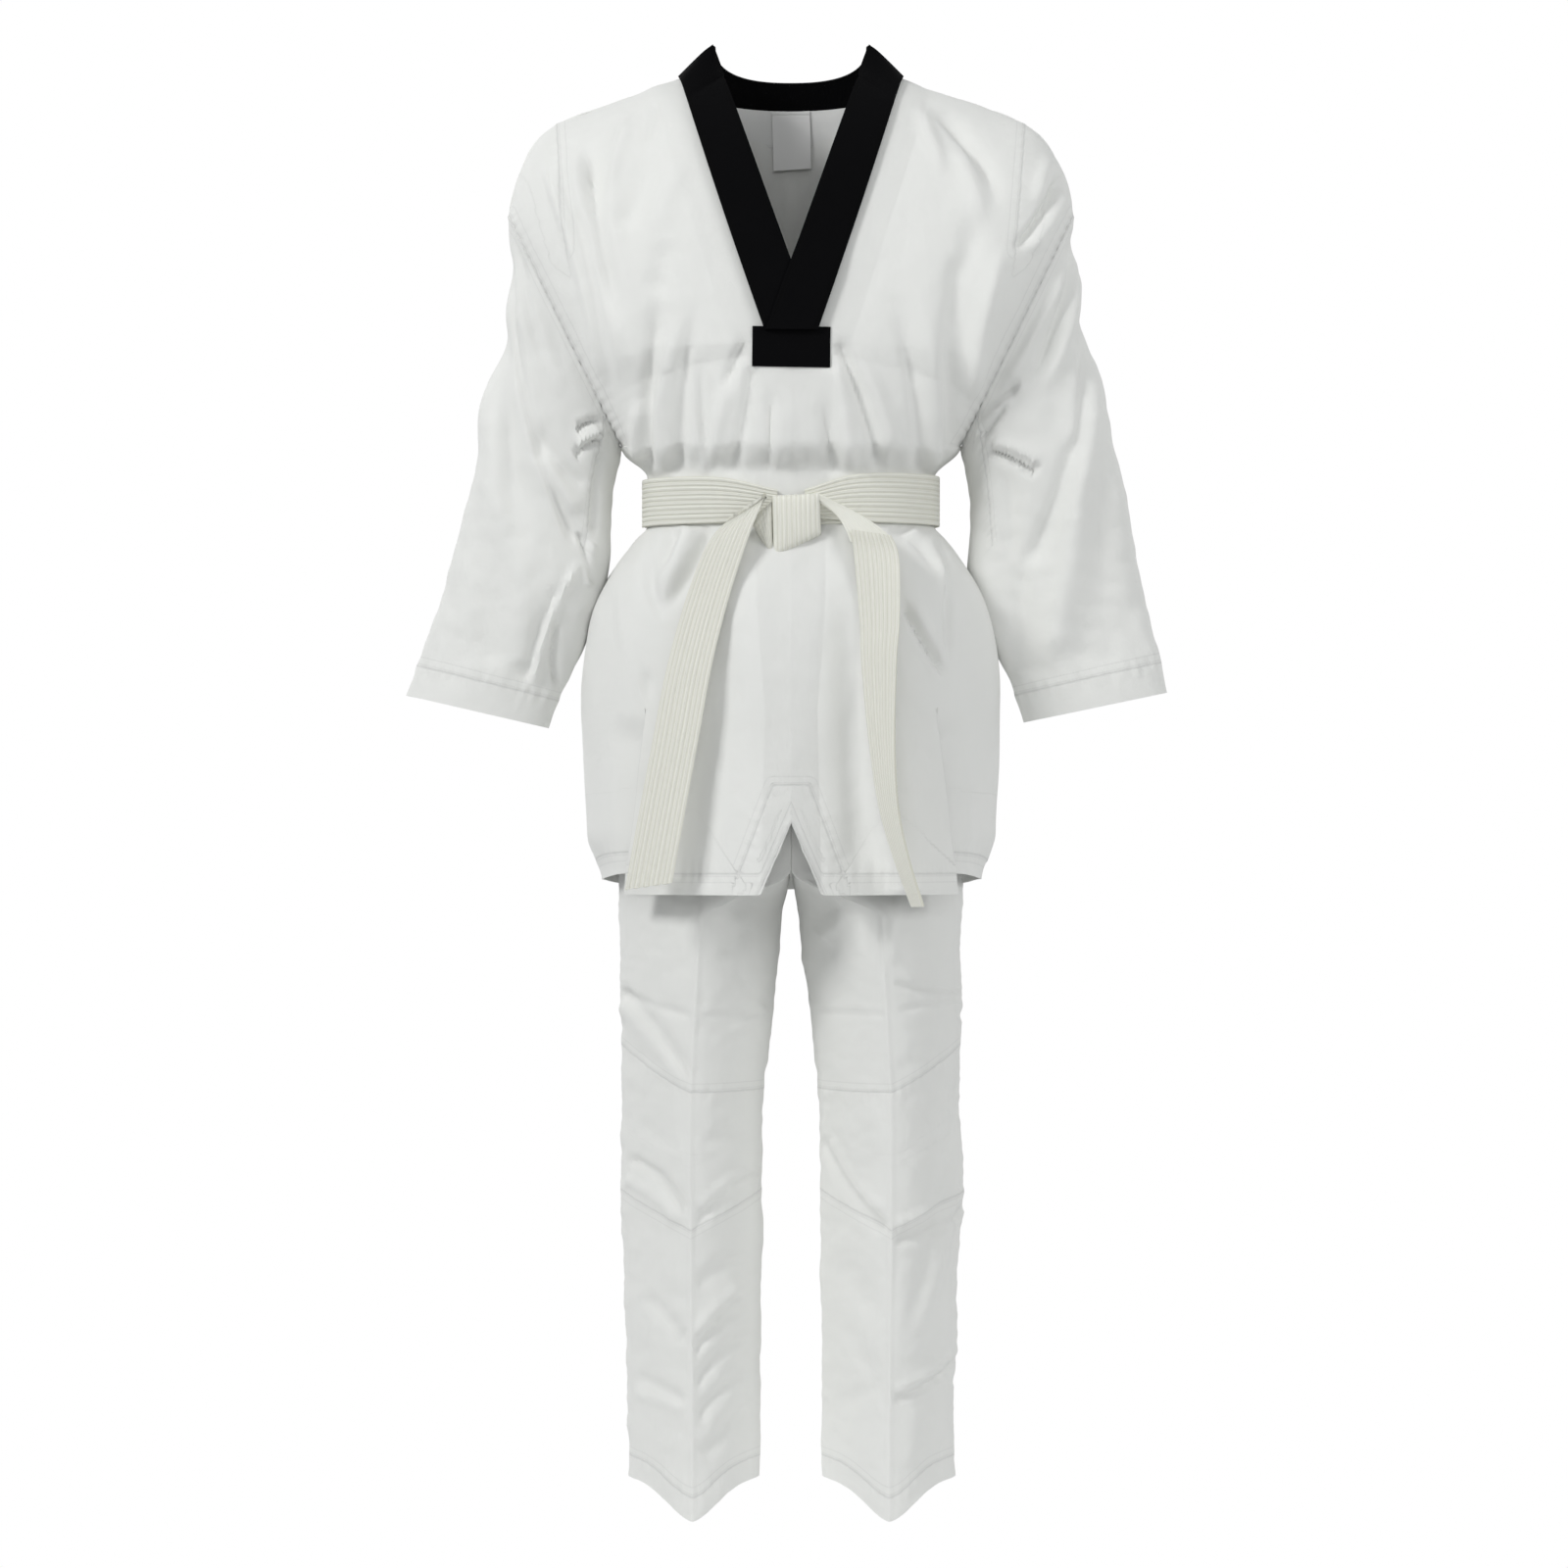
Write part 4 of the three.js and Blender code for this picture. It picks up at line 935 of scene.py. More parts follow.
@dataclass
class Jacket:
    """The jacket's body: front, back, collar, patch, label and linings.

    The values ending in _cut are areas in square metres, read off the modelled cloth, and are not used.
    """

    wardrobe: Wardrobe
    cut: Cut = field(default_factory=Cut)
    columns: int = 72
    step: float = 3.3
    front_cut: float = 0.312
    back_cut: float = 0.462
    shoulder_cut: float = 0.0355
    facing_cut: float = 0.0096
    notch_cut: float = 0.0048

    def heights(self, low: float, high: float) -> Array:
        """Heights between two levels, about one step apart."""
        return np.linspace(low, high, max(2, round(abs(high - low) / self.step) + 1))

    def hem_at(self, x: Array) -> Array:
        """Height of the front hem, raised to a point in the middle by the notch."""
        rise = np.maximum(0, 1 - np.abs(x) / self.cut.notch_half)
        return self.cut.hem.z + self.cut.notch_height * rise

    def front_grid(self) -> Array:
        """The right half of the front, from its middle to its side, from the hem to the shoulder.

        Below the vents x follows the flap's straight edge. Up to the chest the section turns
        with the side seam's angle. Above it is the patch.
        """
        cut = self.cut
        u = np.linspace(0, 1, self.columns)
        end = cut.seam_angle(np.array(cut.hips.z))
        share = np.sin(np.radians(end * u)) ** (2 / cut.power)
        share = share / share[-1]
        v = np.linspace(1, 0, 54)[:, None]
        x = share[None, :] * mix(cut.flap_top, cut.flap_bottom, v)
        z = mix(cut.hips.z, self.hem_at(x), v)
        flap = vec(x, cut.front_y(x, z), z)
        z = self.heights(cut.hips.z, cut.chest.z)[1:-1, None] + 0 * u
        body = cut.section(cut.seam_angle(z) * u, z)
        uu, vv = np.meshgrid(u, np.linspace(0, 1, 112))
        return np.concatenate([flap, body, cut.front_upper(uu, vv)])

    def front_sewing(self, points: Array) -> Sewing:
        """Seams of the front: armhole, hem, notch, vent edge and the shoulder reinforcement."""
        x, z = points[..., 0], points[..., 2]
        found = sewn(x.shape)
        cut = self.cut
        distance, along = cut.armhole_seam.at(x, z)
        found.add(np.where(z > cut.chest.z, distance - 1.0, FAR), along)
        found.add(*Seam(((227, -28), (213, -162))).at(x, z))
        found.add(self.hem_at(x) - z + 20.0, x)
        for line in (((50, -757), (17, -671)), ((17, -671), (0, -671)), ((32, -775), (0, -706))):
            found.add(*Seam(line).at(x, z))
        edge = Seam(((cut.flap_top, cut.hips.z), (cut.flap_bottom, cut.hem.z)))
        distance, along = edge.at(x, z)
        found.add(np.where(z < cut.hips.z + 4, distance + 8.0, FAR), along)
        return found

    def belt_calm(self, z: Array) -> Array:
        """Share of the folds' height that stays: 0.12 under the belt, rising to 1 off it."""
        return mix(0.12, 1.0, smooth((np.abs(z - BELT_Z) - 20) / 20))

    def edge_calm(self, points: Array) -> Array:
        """0 on the shape's sewn edges and under the collar, rising to 1 away from them."""
        x, z = np.abs(points[:, 0]), points[:, 2]
        v_line, _ = Seam(((25, -236), (108, 14))).at(x, z)
        collar = smooth((np.abs(v_line) - 3) / 26)
        patch = 1 - smooth((46 - x) / 8) * smooth((z + 282) / 8) * smooth((-228 - z) / 8)
        return collar * patch * self.belt_calm(z)

    def front_height(self, points: Array) -> Array:
        """Height of the front's folds, gathers at the belt and the facing behind the notch."""
        x, z = points[:, 0], points[:, 2]
        height = 1.6 * sum(fold.at(x, z) for fold in FRONT_FOLDS)
        height = height + Crumple(3, 0.9, (45, 130), 1.8).at(x, z)
        height = height + Crumple(8, 0.2, (14, 40), 1.3).at(x, z)
        ripple = np.sin(x / 4.1 + 1.3 * np.sin(x / 17.0)) * bump(z + 366, 14) * 1.2
        ripple = ripple + np.sin(x / 5.2 + 2 * np.sin(x / 21.0)) * bump(z + 430, 14) * 1.2
        facing = (np.abs(x) < mix(50, 17, (z + 775) / 104)) & (z < -671)
        return (height + ripple) * self.edge_calm(points) + np.where(facing, 0.8, 0.0)

    def back_height(self, points: Array) -> Array:
        """Height of the back's folds and of the waves round the skirt's sides."""
        x, y, z = points.T
        turned = smooth(y / 40)
        height = 1.3 * sum(fold.at(x, z) for fold in BACK_FOLDS) * turned
        height = height + Crumple(11, 1.2, (40, 120), 1.8).at(x + np.where(y > 0, 0, 70), z)
        sway = np.sin(y / 19.0 + z / 150.0) * smooth((-430 - z) / 120) * 2.6
        height = height + (1 - turned) * np.where(z < -430, 1.0, 0.0) * sway
        neck = (np.abs(x) < 112) & (z > -50)
        height = height * np.where(neck, 0.12, 1.0)
        return height * self.belt_calm(z)

    def dressed(self, half: Surface, calm: Array, rule: Callable[[Array], Array]) -> Surface:
        """Both halves of a panel with their folds, which differ from side to side.

        Args:
            half: The right half.
            calm: Share of the folds' height at each of its points, 0 on sewn edges.
            rule: Height of the folds at points.

        Returns:
            The whole panel.
        """
        other = half.mirrored()
        for side in (half, other):
            side.lift = side.lift + rule(side.points) * calm.reshape(-1)
        whole = joined(half, other)
        return whole.moved(whole.lift)

    def sewn_calm(self, points: Array, side: Array) -> Array:
        """0 along the armhole and the side seam, rising to 1 about 15 mm away.

        Args:
            points: A grid of a panel's right half.
            side: Distance of each point from the side seam.

        Returns:
            The share of the folds' height that stays.
        """
        x, z = points[..., 0], points[..., 2]
        armhole, _ = self.cut.armhole_seam.at(x, z)
        chest = self.cut.chest.z
        near = np.where(z > chest, smooth(np.abs(armhole) / 14), 1.0)
        shut = smooth((z + 640) / 40) * np.where(z < chest, 1.0, 0.0)
        return near * mix(1.0, smooth(side / 16), shut)

    def front(self) -> bpy.types.Object:
        """The front with its lower part, which hangs free below the vents."""
        points = self.front_grid()
        half = grid(points, self.front_sewing(points), 0.7)
        side = points[:, -1:, 0] - points[..., 0]
        surface = self.dressed(half, self.sewn_calm(points, side), self.front_height)
        obj = to_object("jacket_front", surface.shell(self.cut.cloth), self.wardrobe.get(JACKET))
        place_piece(
            ["front_panel", "front_flap"],
        )
        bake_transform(obj)
        return obj

    def back_grid(self) -> Array:
        """The right half of the back, from its side to its middle, from the hem up."""
        cut = self.cut
        u = np.linspace(1, 0, self.columns + 34)[None, :]
        v = np.linspace(1, 0, 52)[:, None]
        edge = mix(cut.flap_top, cut.flap_bottom, v) + 0.6
        front = cut.angle_at(edge, mix(cut.hips.z, cut.hem.z + 21, v))
        lap = smooth(v / 0.35)
        degrees = mix(180, front - 9.0 * lap, u)
        rise = cut.wing_rise * smooth((180 - degrees) / 180)
        z = mix(cut.hips.z, cut.hem.z + rise, v)
        skirt = cut.section(degrees, z)
        under = smooth((u - 0.84) / 0.1) * smooth(v / 0.2)
        skirt[..., :2] *= 1 - 0.032 * under[..., None]
        tuck = smooth((v - 0.72) / 0.28) * np.sin(np.radians(degrees)) ** 4
        skirt[..., 0] *= 1 - 0.07 * tuck
        z = self.heights(cut.hips.z, cut.chest.z)[1:-1, None] + 0 * u
        body = cut.section(mix(180, cut.seam_angle(z), u), z)
        uu, vv = np.meshgrid(u[0], np.linspace(0, 1, 104))
        upper = eased(cut.back_upper(uu, vv), smooth((1 - vv) / 0.2), 160)
        return np.concatenate([skirt, body, upper])

    def back(self) -> bpy.types.Object:
        """The back with its skirt, which wraps forwards to the vents."""
        points = self.back_grid()
        x, z = points[..., 0], points[..., 2]
        found = sewn(x.shape)
        side = arc(points, 1) / MM
        distance, along = self.cut.armhole_seam.at(x, z)
        found.add(np.where(z > self.cut.chest.z, distance - 1.0, FAR), along)
        found.add(points[0][None, :, 2] - z + 20.0, side)
        half = grid(points, found, 0.7)
        surface = self.dressed(half, self.sewn_calm(points, side), self.back_height)
        obj = to_object("jacket_back", surface.shell(self.cut.cloth), self.wardrobe.get(JACKET))
        place_piece(
            ["back_panel", "back_flap", "left_side_skirt", "right_side_skirt"],
        )
        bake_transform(obj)
        return obj

    def linings(self) -> None:
        """The reinforcements inside the shoulders and the facing inside the back of the neck."""
        cut = self.cut
        uu, vv = np.meshgrid(np.linspace(0.17, 0.83, 26), np.linspace(0.65, 1, 30))
        front = grid(cut.front_upper(uu, vv))
        ub = np.linspace(0.5, 0.9, 26)[::-1]
        uu, vv = np.meshgrid(ub, np.linspace(0.65, 1, 30))
        back = grid(cut.back_upper(uu, vv))
        for name, sign in SIDES.items():
            halves = []
            for half, rule in ((front, self.front_height), (back, self.back_height)):
                side = half if sign > 0 else half.mirrored()
                halves.append(side.moved(rule(side.points)))
            inside = joined(*halves)
            inside = inside.moved(np.full(len(inside.points), -3.4))
            obj = to_object(f"{name}_shoulder_lining", inside.shell(0.9), self.wardrobe.get(LINING))
            place_piece(
                [f"{name}_shoulder_lining"],
            )
            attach(obj, "jacket")
        uu, vv = np.meshgrid(np.linspace(0.4, 0, 40), np.linspace(0.885, 1, 26))
        half = cut.back_upper(uu, vv)
        found = sewn(uu.shape)
        found.add(half[..., 2] - half[0, :, 2][None, :] - 2.2, half[..., 0])
        half_surface = grid(half, found)
        whole = joined(half_surface, half_surface.mirrored())
        inside = whole.moved(np.full(len(whole.points), -2.6)).flipped()
        shell = inside.shell(-0.9)
        obj = to_object("back_neck_facing", shell.flipped(), self.wardrobe.get(LINING))
        place_piece(
            ["back_neck_facing"],
        )
        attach(obj, "jacket")

    def notch_facing(self) -> None:
        """The shaped piece sewn behind the notch in the front hem."""
        cut = self.cut
        u = np.linspace(-1, 1, 41)[None, :]
        v = np.linspace(1, 0, 26)[:, None]
        half = mix(17, 50, v)
        z = mix(cut.hem.z + 104, self.hem_at(u * 50) + 2, v)
        x = u * half
        surface = grid(vec(x, cut.front_y(x, z) + 3.2, z))
        obj = to_object("front_notch_facing", surface.shell(0.9), self.wardrobe.get(LINING))
        place_piece(
            ["front_notch_facing"],
        )
        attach(obj, "front_flap")

    def band(self) -> Surface:
        """The right collar band: a strip down the V, lying on the chest, slightly crowned.

        Its outer edge runs from (25, -240) to (108, 14) and its inner edge from past the middle,
        under the patch, to the peak at (76, 46).
        """
        t = np.linspace(0, 1, 90)[:, None]
        w = np.linspace(1, 0, 15)[None, :]
        z_out, z_in = mix(-240, 14, t), mix(-240, 46, t)
        x_out = mix(25, 108, t) + 2.0 * np.sin(math.pi * t)
        x_in = mix(-23.5, 76, t) + 1.0 * np.sin(math.pi * t)
        x, z = mix(x_out, x_in, w), mix(z_out, z_in, w)
        depth = mix(self.cut.chest_depth(z_out), self.cut.chest_depth(z_in), w)
        crown = 0.9 * (1 - (2 * w - 1) ** 4)
        points = vec(x, -(depth + 3.3 + crown), z)[:, ::-1]
        found = sewn(x.shape)
        found.add(np.minimum(w, 1 - w)[:, ::-1] * 43 - 3.0 + 0 * t, t * 260 + 0 * w)
        return grid(points, found)

    def collar(self) -> None:
        """The two bands down the V and the part that stands behind the neck."""
        band = self.band()
        finish = self.wardrobe.get(COLLAR)
        for name, sign in SIDES.items():
            surface = band if sign > 0 else band.mirrored()
            under = smooth((-150 - surface.points[:, 2]) / 40) * (1.0 if sign > 0 else 0.0)
            surface = surface.moved(-2.4 * under)
            obj = to_object(f"collar_{name}", surface.shell(2.2), finish)
            place_piece(
                [f"collar_{name}"]
            )
            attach(obj, "jacket")
        s = np.linspace(1, -1, 91)[None, :]
        v = np.linspace(0, 1, 16)[:, None]
        foot = self.cut.neckline(np.abs(s))
        x = mix(106, 74.5, v) * np.sin(math.pi / 2 * s)
        top = mix(19, 46, np.abs(s) ** 2.6)
        z = mix(foot[..., 2] + 0.3, top, v)
        y = foot[..., 1] * mix(1.0, 0.86, v) + 0.3 + 0.8 * (1 - (2 * v - 1) ** 4)
        found = sewn(x.shape)
        found.add(np.minimum(v, 1 - v) * 42 - 3.0 + 0 * s, s * 130 + 0 * v)
        surface = grid(vec(x, y, z), found)
        obj = to_object("collar_back", surface.shell(2.6), finish)
        place_piece(["collar_back"])
        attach(obj, "jacket")

    def patch(self) -> None:
        """The patch over the collar's crossed ends: a flat padded rectangle, slightly turned."""
        surface = pillow(
            [(-37, -274.6), (37, -275.9), (37.4, -237.2), (-36.6, -236.4)], -120.8, -118.4, 0.25, 34, 9
        )
        obj = to_object("collar_patch", surface, self.wardrobe.get(COLLAR))
        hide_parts("collar_patch")
        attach(obj, "jacket")

    def label(self) -> None:
        """The plain label sewn inside the neck by its top edge."""
        u = np.linspace(-1, 1, 21)[None, :]
        v = np.linspace(0, 1, 29)[:, None]
        z = mix(-66, -9, v) + u * 1.2
        x = u * 18.5 + 1.5 * (1 - v)
        y = 73.4 - 1.4 * (1 - v) ** 2 - 0.8 * np.cos(u * 2.2) * (1 - v)
        found = sewn(z.shape)
        found.add(z + 12.0, x)
        surface = grid(vec(x, y, z), found)
        obj = to_object("neck_label", surface.shell(0.7), self.wardrobe.get(LABEL))
        place_piece(["neck_label"])
        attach(obj, "neck_label")

    def build(self) -> None:
        """Makes every piece of the jacket's body."""
        self.front()
        self.back()
        self.linings()
        self.notch_facing()
        self.collar()
        self.patch()
        self.label()


def pillow(
    outline: Sequence[tuple[float, float]],
    front: float,
    back: float,
    crown: float,
    cells: int = 24,
    hard: float = 5.0,
    rows: int = 0,
) -> Surface:
    """A closed stuffed shape over a four-cornered outline.

    The front bulges by thick (1 - u^h)^(1/h) (1 - v^h)^(1/h), flatter for a larger h, plus a low
    crown. The back is flat, and the two meet at the edge.

    Args:
        outline: Corners x, z from the lower left, anticlockwise seen from the front.
        front: y of the front at its middle.
        back: y of the back.
        crown: Extra height of the middle.
        cells: Cells each way.
        hard: How flat the faces are and how tight the edges.
        rows: Number of lengthwise stitch rows on its front.

    Returns:
        The closed surface.
    """
    raw = np.linspace(-1, 1, cells + 1)
    even = np.sin(raw * math.pi / 2)
    u, v = even[None, :], even[:, None]
    a, b = (u + 1) / 2, (v + 1) / 2
    corner = np.asarray(outline, float)
    low = mix(corner[0], corner[1], a[..., None])
    high = mix(corner[3], corner[2], a[..., None])
    place = mix(low, high, b[..., None])
    rise = (1 - np.abs(u) ** hard) ** (1 / hard) * (1 - np.abs(v) ** hard) ** (1 / hard)
    thick = (back - front - crown) * rise + crown * (1 - u**2) * (1 - v**2)
    found = sewn(thick.shape)
    if rows:
        count = a * rows
        found.add((count - np.round(count)) * 4.5 + 0 * v, b * 50 + 0 * u)
    outer = grid(vec(place[..., 0], back - thick, place[..., 1]), found)
    inner = grid(vec(place[..., 0], back + 0 * thick, place[..., 1])).flipped()
    return joined(outer, inner)


# ---------------------------------------------------------------- sleeves


RIGHT_SLEEVE_FOLDS = (
    Fold((275, -124), (182, -300), -5.0, 6, -9, 0.7, (0.1, 0.1)),
    Fold((270, -140), (196, -290), 4.5, 9, -8, 1.0, (0.15, 0.15)),
    Fold((275, -130), (226, -300), -6.0, 7, -8, 0.7, (0.15, 0.3)),
    Fold((278, -150), (240, -300), 5.5, 10, -8, 1.0, (0.2, 0.3)),
    Fold((279, -134), (272, -360), -5.5, 8, -8, 0.7, (0.15, 0.1)),
    Fold((274, -330), (222, -470), -6.0, 11, -6, 0.8, (0.2, 0.2)),
    Fold((222, -440), (226, -570), -4.0, 12, 5, 0.9, (0.3, 0.1)),
    Fold((288, -240), (248, -560), 7.5, 17, -8, 0.9, (0.25, 0.12)),
    Fold((290, -320), (300, -570), -3.0, 20, 0, 1.0, (0.3, 0.1)),
    Fold((178, -306), (224, -284), -5.0, 5, 3, 0.6, (0.05, 0.3)),
    Fold((182, -318), (214, -300), 4.0, 6, 2, 1.0, (0.05, 0.3)),
    Fold((184, -336), (210, -304), -4.5, 5, 0, 0.7, (0.05, 0.3)),
    Fold((188, -350), (238, -374), -5.5, 5, -3, 0.5, (0.08, 0.15)),
    Fold((192, -344), (240, -366), 4.0, 6, -3, 1.0, (0.08, 0.2)),
    Fold((309, -270), (322, -372), -3.2, 6, 5, 0.7, (0.2, 0.3)),
    Fold((300, -300), (330, -430), 2.6, 9, 4, 1.0, (0.3, 0.3)),
    Fold((204, -360), (214, -470), -4.0, 10, 0, 1.0, (0.3, 0.3)),
    Fold((330, -500), (356, -560), 2.0, 8, 0, 1.0),
)

LEFT_SLEEVE_FOLDS = (
    Fold((-268, -124), (-182, -280), -5.0, 6, 8, 1.4, (0.1, 0.1)),
    Fold((-258, -140), (-196, -262), 4.5, 8, 6, 1.0, (0.15, 0.2)),
    Fold((-265, -123), (-226, -296), -5.5, 7, 6, 0.7, (0.15, 0.3)),
    Fold((-258, -170), (-222, -300), 5.0, 9, 4, 1.0, (0.2, 0.3)),
    Fold((-276, -138), (-204, -448), -6.5, 7, 16, 0.7, (0.12, 0.08)),
    Fold((-264, -180), (-214, -420), 4.0, 10, 14, 1.0, (0.2, 0.2)),
    Fold((-280, -200), (-258, -440), -6.5, 12, 6, 0.8, (0.2, 0.3)),
    Fold((-292, -250), (-276, -470), 5.0, 16, 4, 1.0, (0.2, 0.3)),
    Fold((-300, -400), (-284, -560), -3.2, 22, 0, 1.0, (0.3, 0.1)),
    Fold((-256, -430), (-262, -560), 3.4, 16, 0, 1.0, (0.3, 0.1)),
    Fold((-206, -332), (-170, -322), -5.5, 4, -4, 0.6, (0.1, 0.05)),
    Fold((-206, -344), (-172, -332), 4.5, 5, -4, 1.0, (0.1, 0.05)),
    Fold((-207, -358), (-182, -338), -5.0, 4, -3, 0.7, (0.1, 0.1)),
    Fold((-244, -326), (-192, -386), -4.0, 8, 8, 0.8, (0.2, 0.2)),
    Fold((-240, -350), (-200, -410), 3.0, 9, 6, 1.0, (0.2, 0.2)),
    Fold((-204, -428), (-194, -478), -4.5, 4, -3, 0.7, (0.1, 0.1)),
    Fold((-192, -436), (-196, -480), 3.6, 4, 0, 1.0, (0.1, 0.1)),
    Fold((-203, -452), (-250, -578), 5.0, 6, 7, 0.45, (0.15, 0.1)),
    Fold((-214, -470), (-256, -576), -3.4, 8, 6, 1.0, (0.2, 0.1)),
    Fold((-226, -510), (-225, -578), -4.0, 4, 4, 0.6, (0.2, 0.1)),
    Fold((-184, -350), (-190, -430), -3.0, 4, 0, 1.0, (0.1, 0.1)),
)


@dataclass
class Sleeve:
    """One sleeve: a tube from the armhole to the cuff, with an underarm gusset sewn in.

    `cloth_cut` is its area in square metres, read off the modelled cloth, and is not used.
    """

    wardrobe: Wardrobe
    side: str
    cuff: tuple[float, float]
    folds: Sequence[Fold]
    cut: Cut = field(default_factory=Cut)
    cuff_half: float = 71.0
    cuff_deep: float = 30.0
    length: float = 347.6
    gusset: float = 42.0
    slim: float = 21.0
    cloth_cut: float = 0.148

    def centre(self, t: Array) -> tuple[Array, Array, Array, Array]:
        """Middle line and the direction across the sleeve at shares of its length."""
        cut = self.cut
        middle = np.array([(cut.chest.width + cut.tip_x) / 2, (cut.chest.z + cut.tip_z) / 2])
        armhole = np.array([cut.tip_x - cut.chest.width, cut.tip_z - cut.chest.z])
        armhole = armhole / np.linalg.norm(armhole)
        axis = np.array([abs(self.cuff[0]), self.cuff[1]]) - middle
        across = np.array([-axis[1], axis[0]]) / np.linalg.norm(axis)
        turned = smooth(t)
        dx, dz = mix(armhole[0], across[0], turned), mix(armhole[1], across[1], turned)
        long = np.hypot(dx, dz)
        return middle[0] + axis[0] * t, middle[1] + axis[1] * t, dx / long, dz / long

    def points(self, degrees: Array, t: Array) -> Array:
        """Points round the tube: 0 degrees on top, 90 in front, 180 under the arm.

        The half width goes from the armhole's to the cuff's, and the half depth with it. The
        shoulder's outer line bulges by 9 mm where the cloth leans on the arm.
        """
        cut = self.cut
        whole = math.hypot(cut.tip_x - cut.chest.width, cut.tip_z - cut.chest.z) / 2
        half = mix(whole, self.cuff_half, mix(t, smooth(t), 0.35))
        deep = mix(cut.armhole_depth, self.cuff_deep, t)
        x, z, dx, dz = self.centre(t)
        turn = np.radians(degrees)
        slack = np.sin(math.pi * np.clip(t, 0, 1) ** 0.8)
        outer = -self.slim * slack * np.maximum(np.cos(turn), 0) ** 2
        inner = 7.0 * np.sin(math.pi * np.clip(t * 1.1, 0, 1)) * np.maximum(-np.cos(turn), 0) ** 2
        along = np.cos(turn) * half + outer - inner
        flat = np.sign(np.sin(turn)) * np.abs(np.sin(turn)) ** 0.92
        sign = SIDES[self.side]
        return vec(sign * (x + dx * along), -deep * flat, z + dz * along)

    def height(self, points: Array) -> Array:
        """Height of the folds, waves and cuff puckers, calmed at the armhole and the cuff.

        Args:
            points: Points of the tube.

        Returns:
            How far each moves out.
        """
        x, y, z = points.T
        sign = SIDES[self.side]
        seed = 1 if sign > 0 else 2
        front = smooth((-y + 6) / 22)
        folds = sum(fold.at(x, z) for fold in self.folds) * front
        behind = sum(fold.at(x, z - 12) for fold in self.folds[:9]) * (1 - front) * 0.8
        waves = Crumple(20 + seed, 1.0, (40, 130), 1.5).at(x, z)
        height = folds + behind + waves + Crumple(30 + seed, 0.4, (16, 40), 1.2).at(x, z)
        armhole, _ = self.cut.armhole_seam.at(np.abs(x), z)
        cx, cz = self.cuff
        ex, ez = cx - sign * 219, cz + 232.5
        from_cuff = -((x - cx) * ex + (z - cz) * ez) / math.hypot(ex, ez)
        pucker = np.sin(np.hypot(x, y) / 3.3 + 2 * np.sin(x / 13.0)) * bump(from_cuff - 27, 9) * 0.55
        calm = smooth(np.abs(armhole) / 18) * mix(0.25, 1.0, smooth(from_cuff / 50))
        return 1.3 * height * calm + pucker

    def build(self) -> bpy.types.Object:
        """The sleeve with its folds, seams and turned-in cuff."""
        dd, tt = np.meshgrid(np.linspace(180, -180, 145), np.linspace(1, 0, 128))
        points = self.points(dd, tt)
        found = sewn(dd.shape)
        around = arc(points, 1) / MM
        found.add(tt * self.length + 1.0, around)
        found.add((1 - tt) * self.length - 27.0, around)
        edge = (180 - np.abs(dd) - self.gusset) * 1.9
        found.add(np.where(tt < 0.42, edge, FAR), tt * self.length)
        surface = grid(points, found, 0.75).welded()
        normal = surface.normals()
        middle = surface.points.mean(axis=0)
        if ((surface.points - middle) * normal).sum() < 0:
            surface = surface.flipped()
        surface = surface.moved(self.height(surface.points) + surface.lift)
        obj = to_object(
            f"{self.side}_sleeve", surface.shell(self.cut.cloth), self.wardrobe.get(JACKET)
        )
        names = [f"{self.side}_{part}" for part in ("sleeve", "sleeve_head", "underarm_gusset")]
        place_piece(names)
        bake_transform(obj)
        return obj


# ---------------------------------------------------------------- belt


def webbing(height: Array, rows: int = 9) -> Array:
    """Relief of the belt's lengthwise rows: a narrow groove 0.45 mm deep at each stitch row.

    Args:
        height: Share of the belt's width from 0 to 1.
        rows: Number of stitch rows.

    Returns:
        Height of the face in millimetres.
    """
    wave = np.abs(np.sin(math.pi * (height * (rows + 1))))
    return 0.6 * wave**0.5 - 0.6


def ribs(along: Array, height: Array) -> Array:
    """Cross ribs that the stitches pull into the belt: 0.22 sin(2 pi s / 2.7), warped by row."""
    shift = 0.9 * np.sin(height * 31.0) + 0.8 * np.sin(along / 23.0)
    fade = 0.55 + 0.45 * np.sin(along / 31.0 + 2.0 * np.sin(along / 47.0))
    return 0.22 * np.sin(2 * math.pi * along / 2.7 + shift) * fade


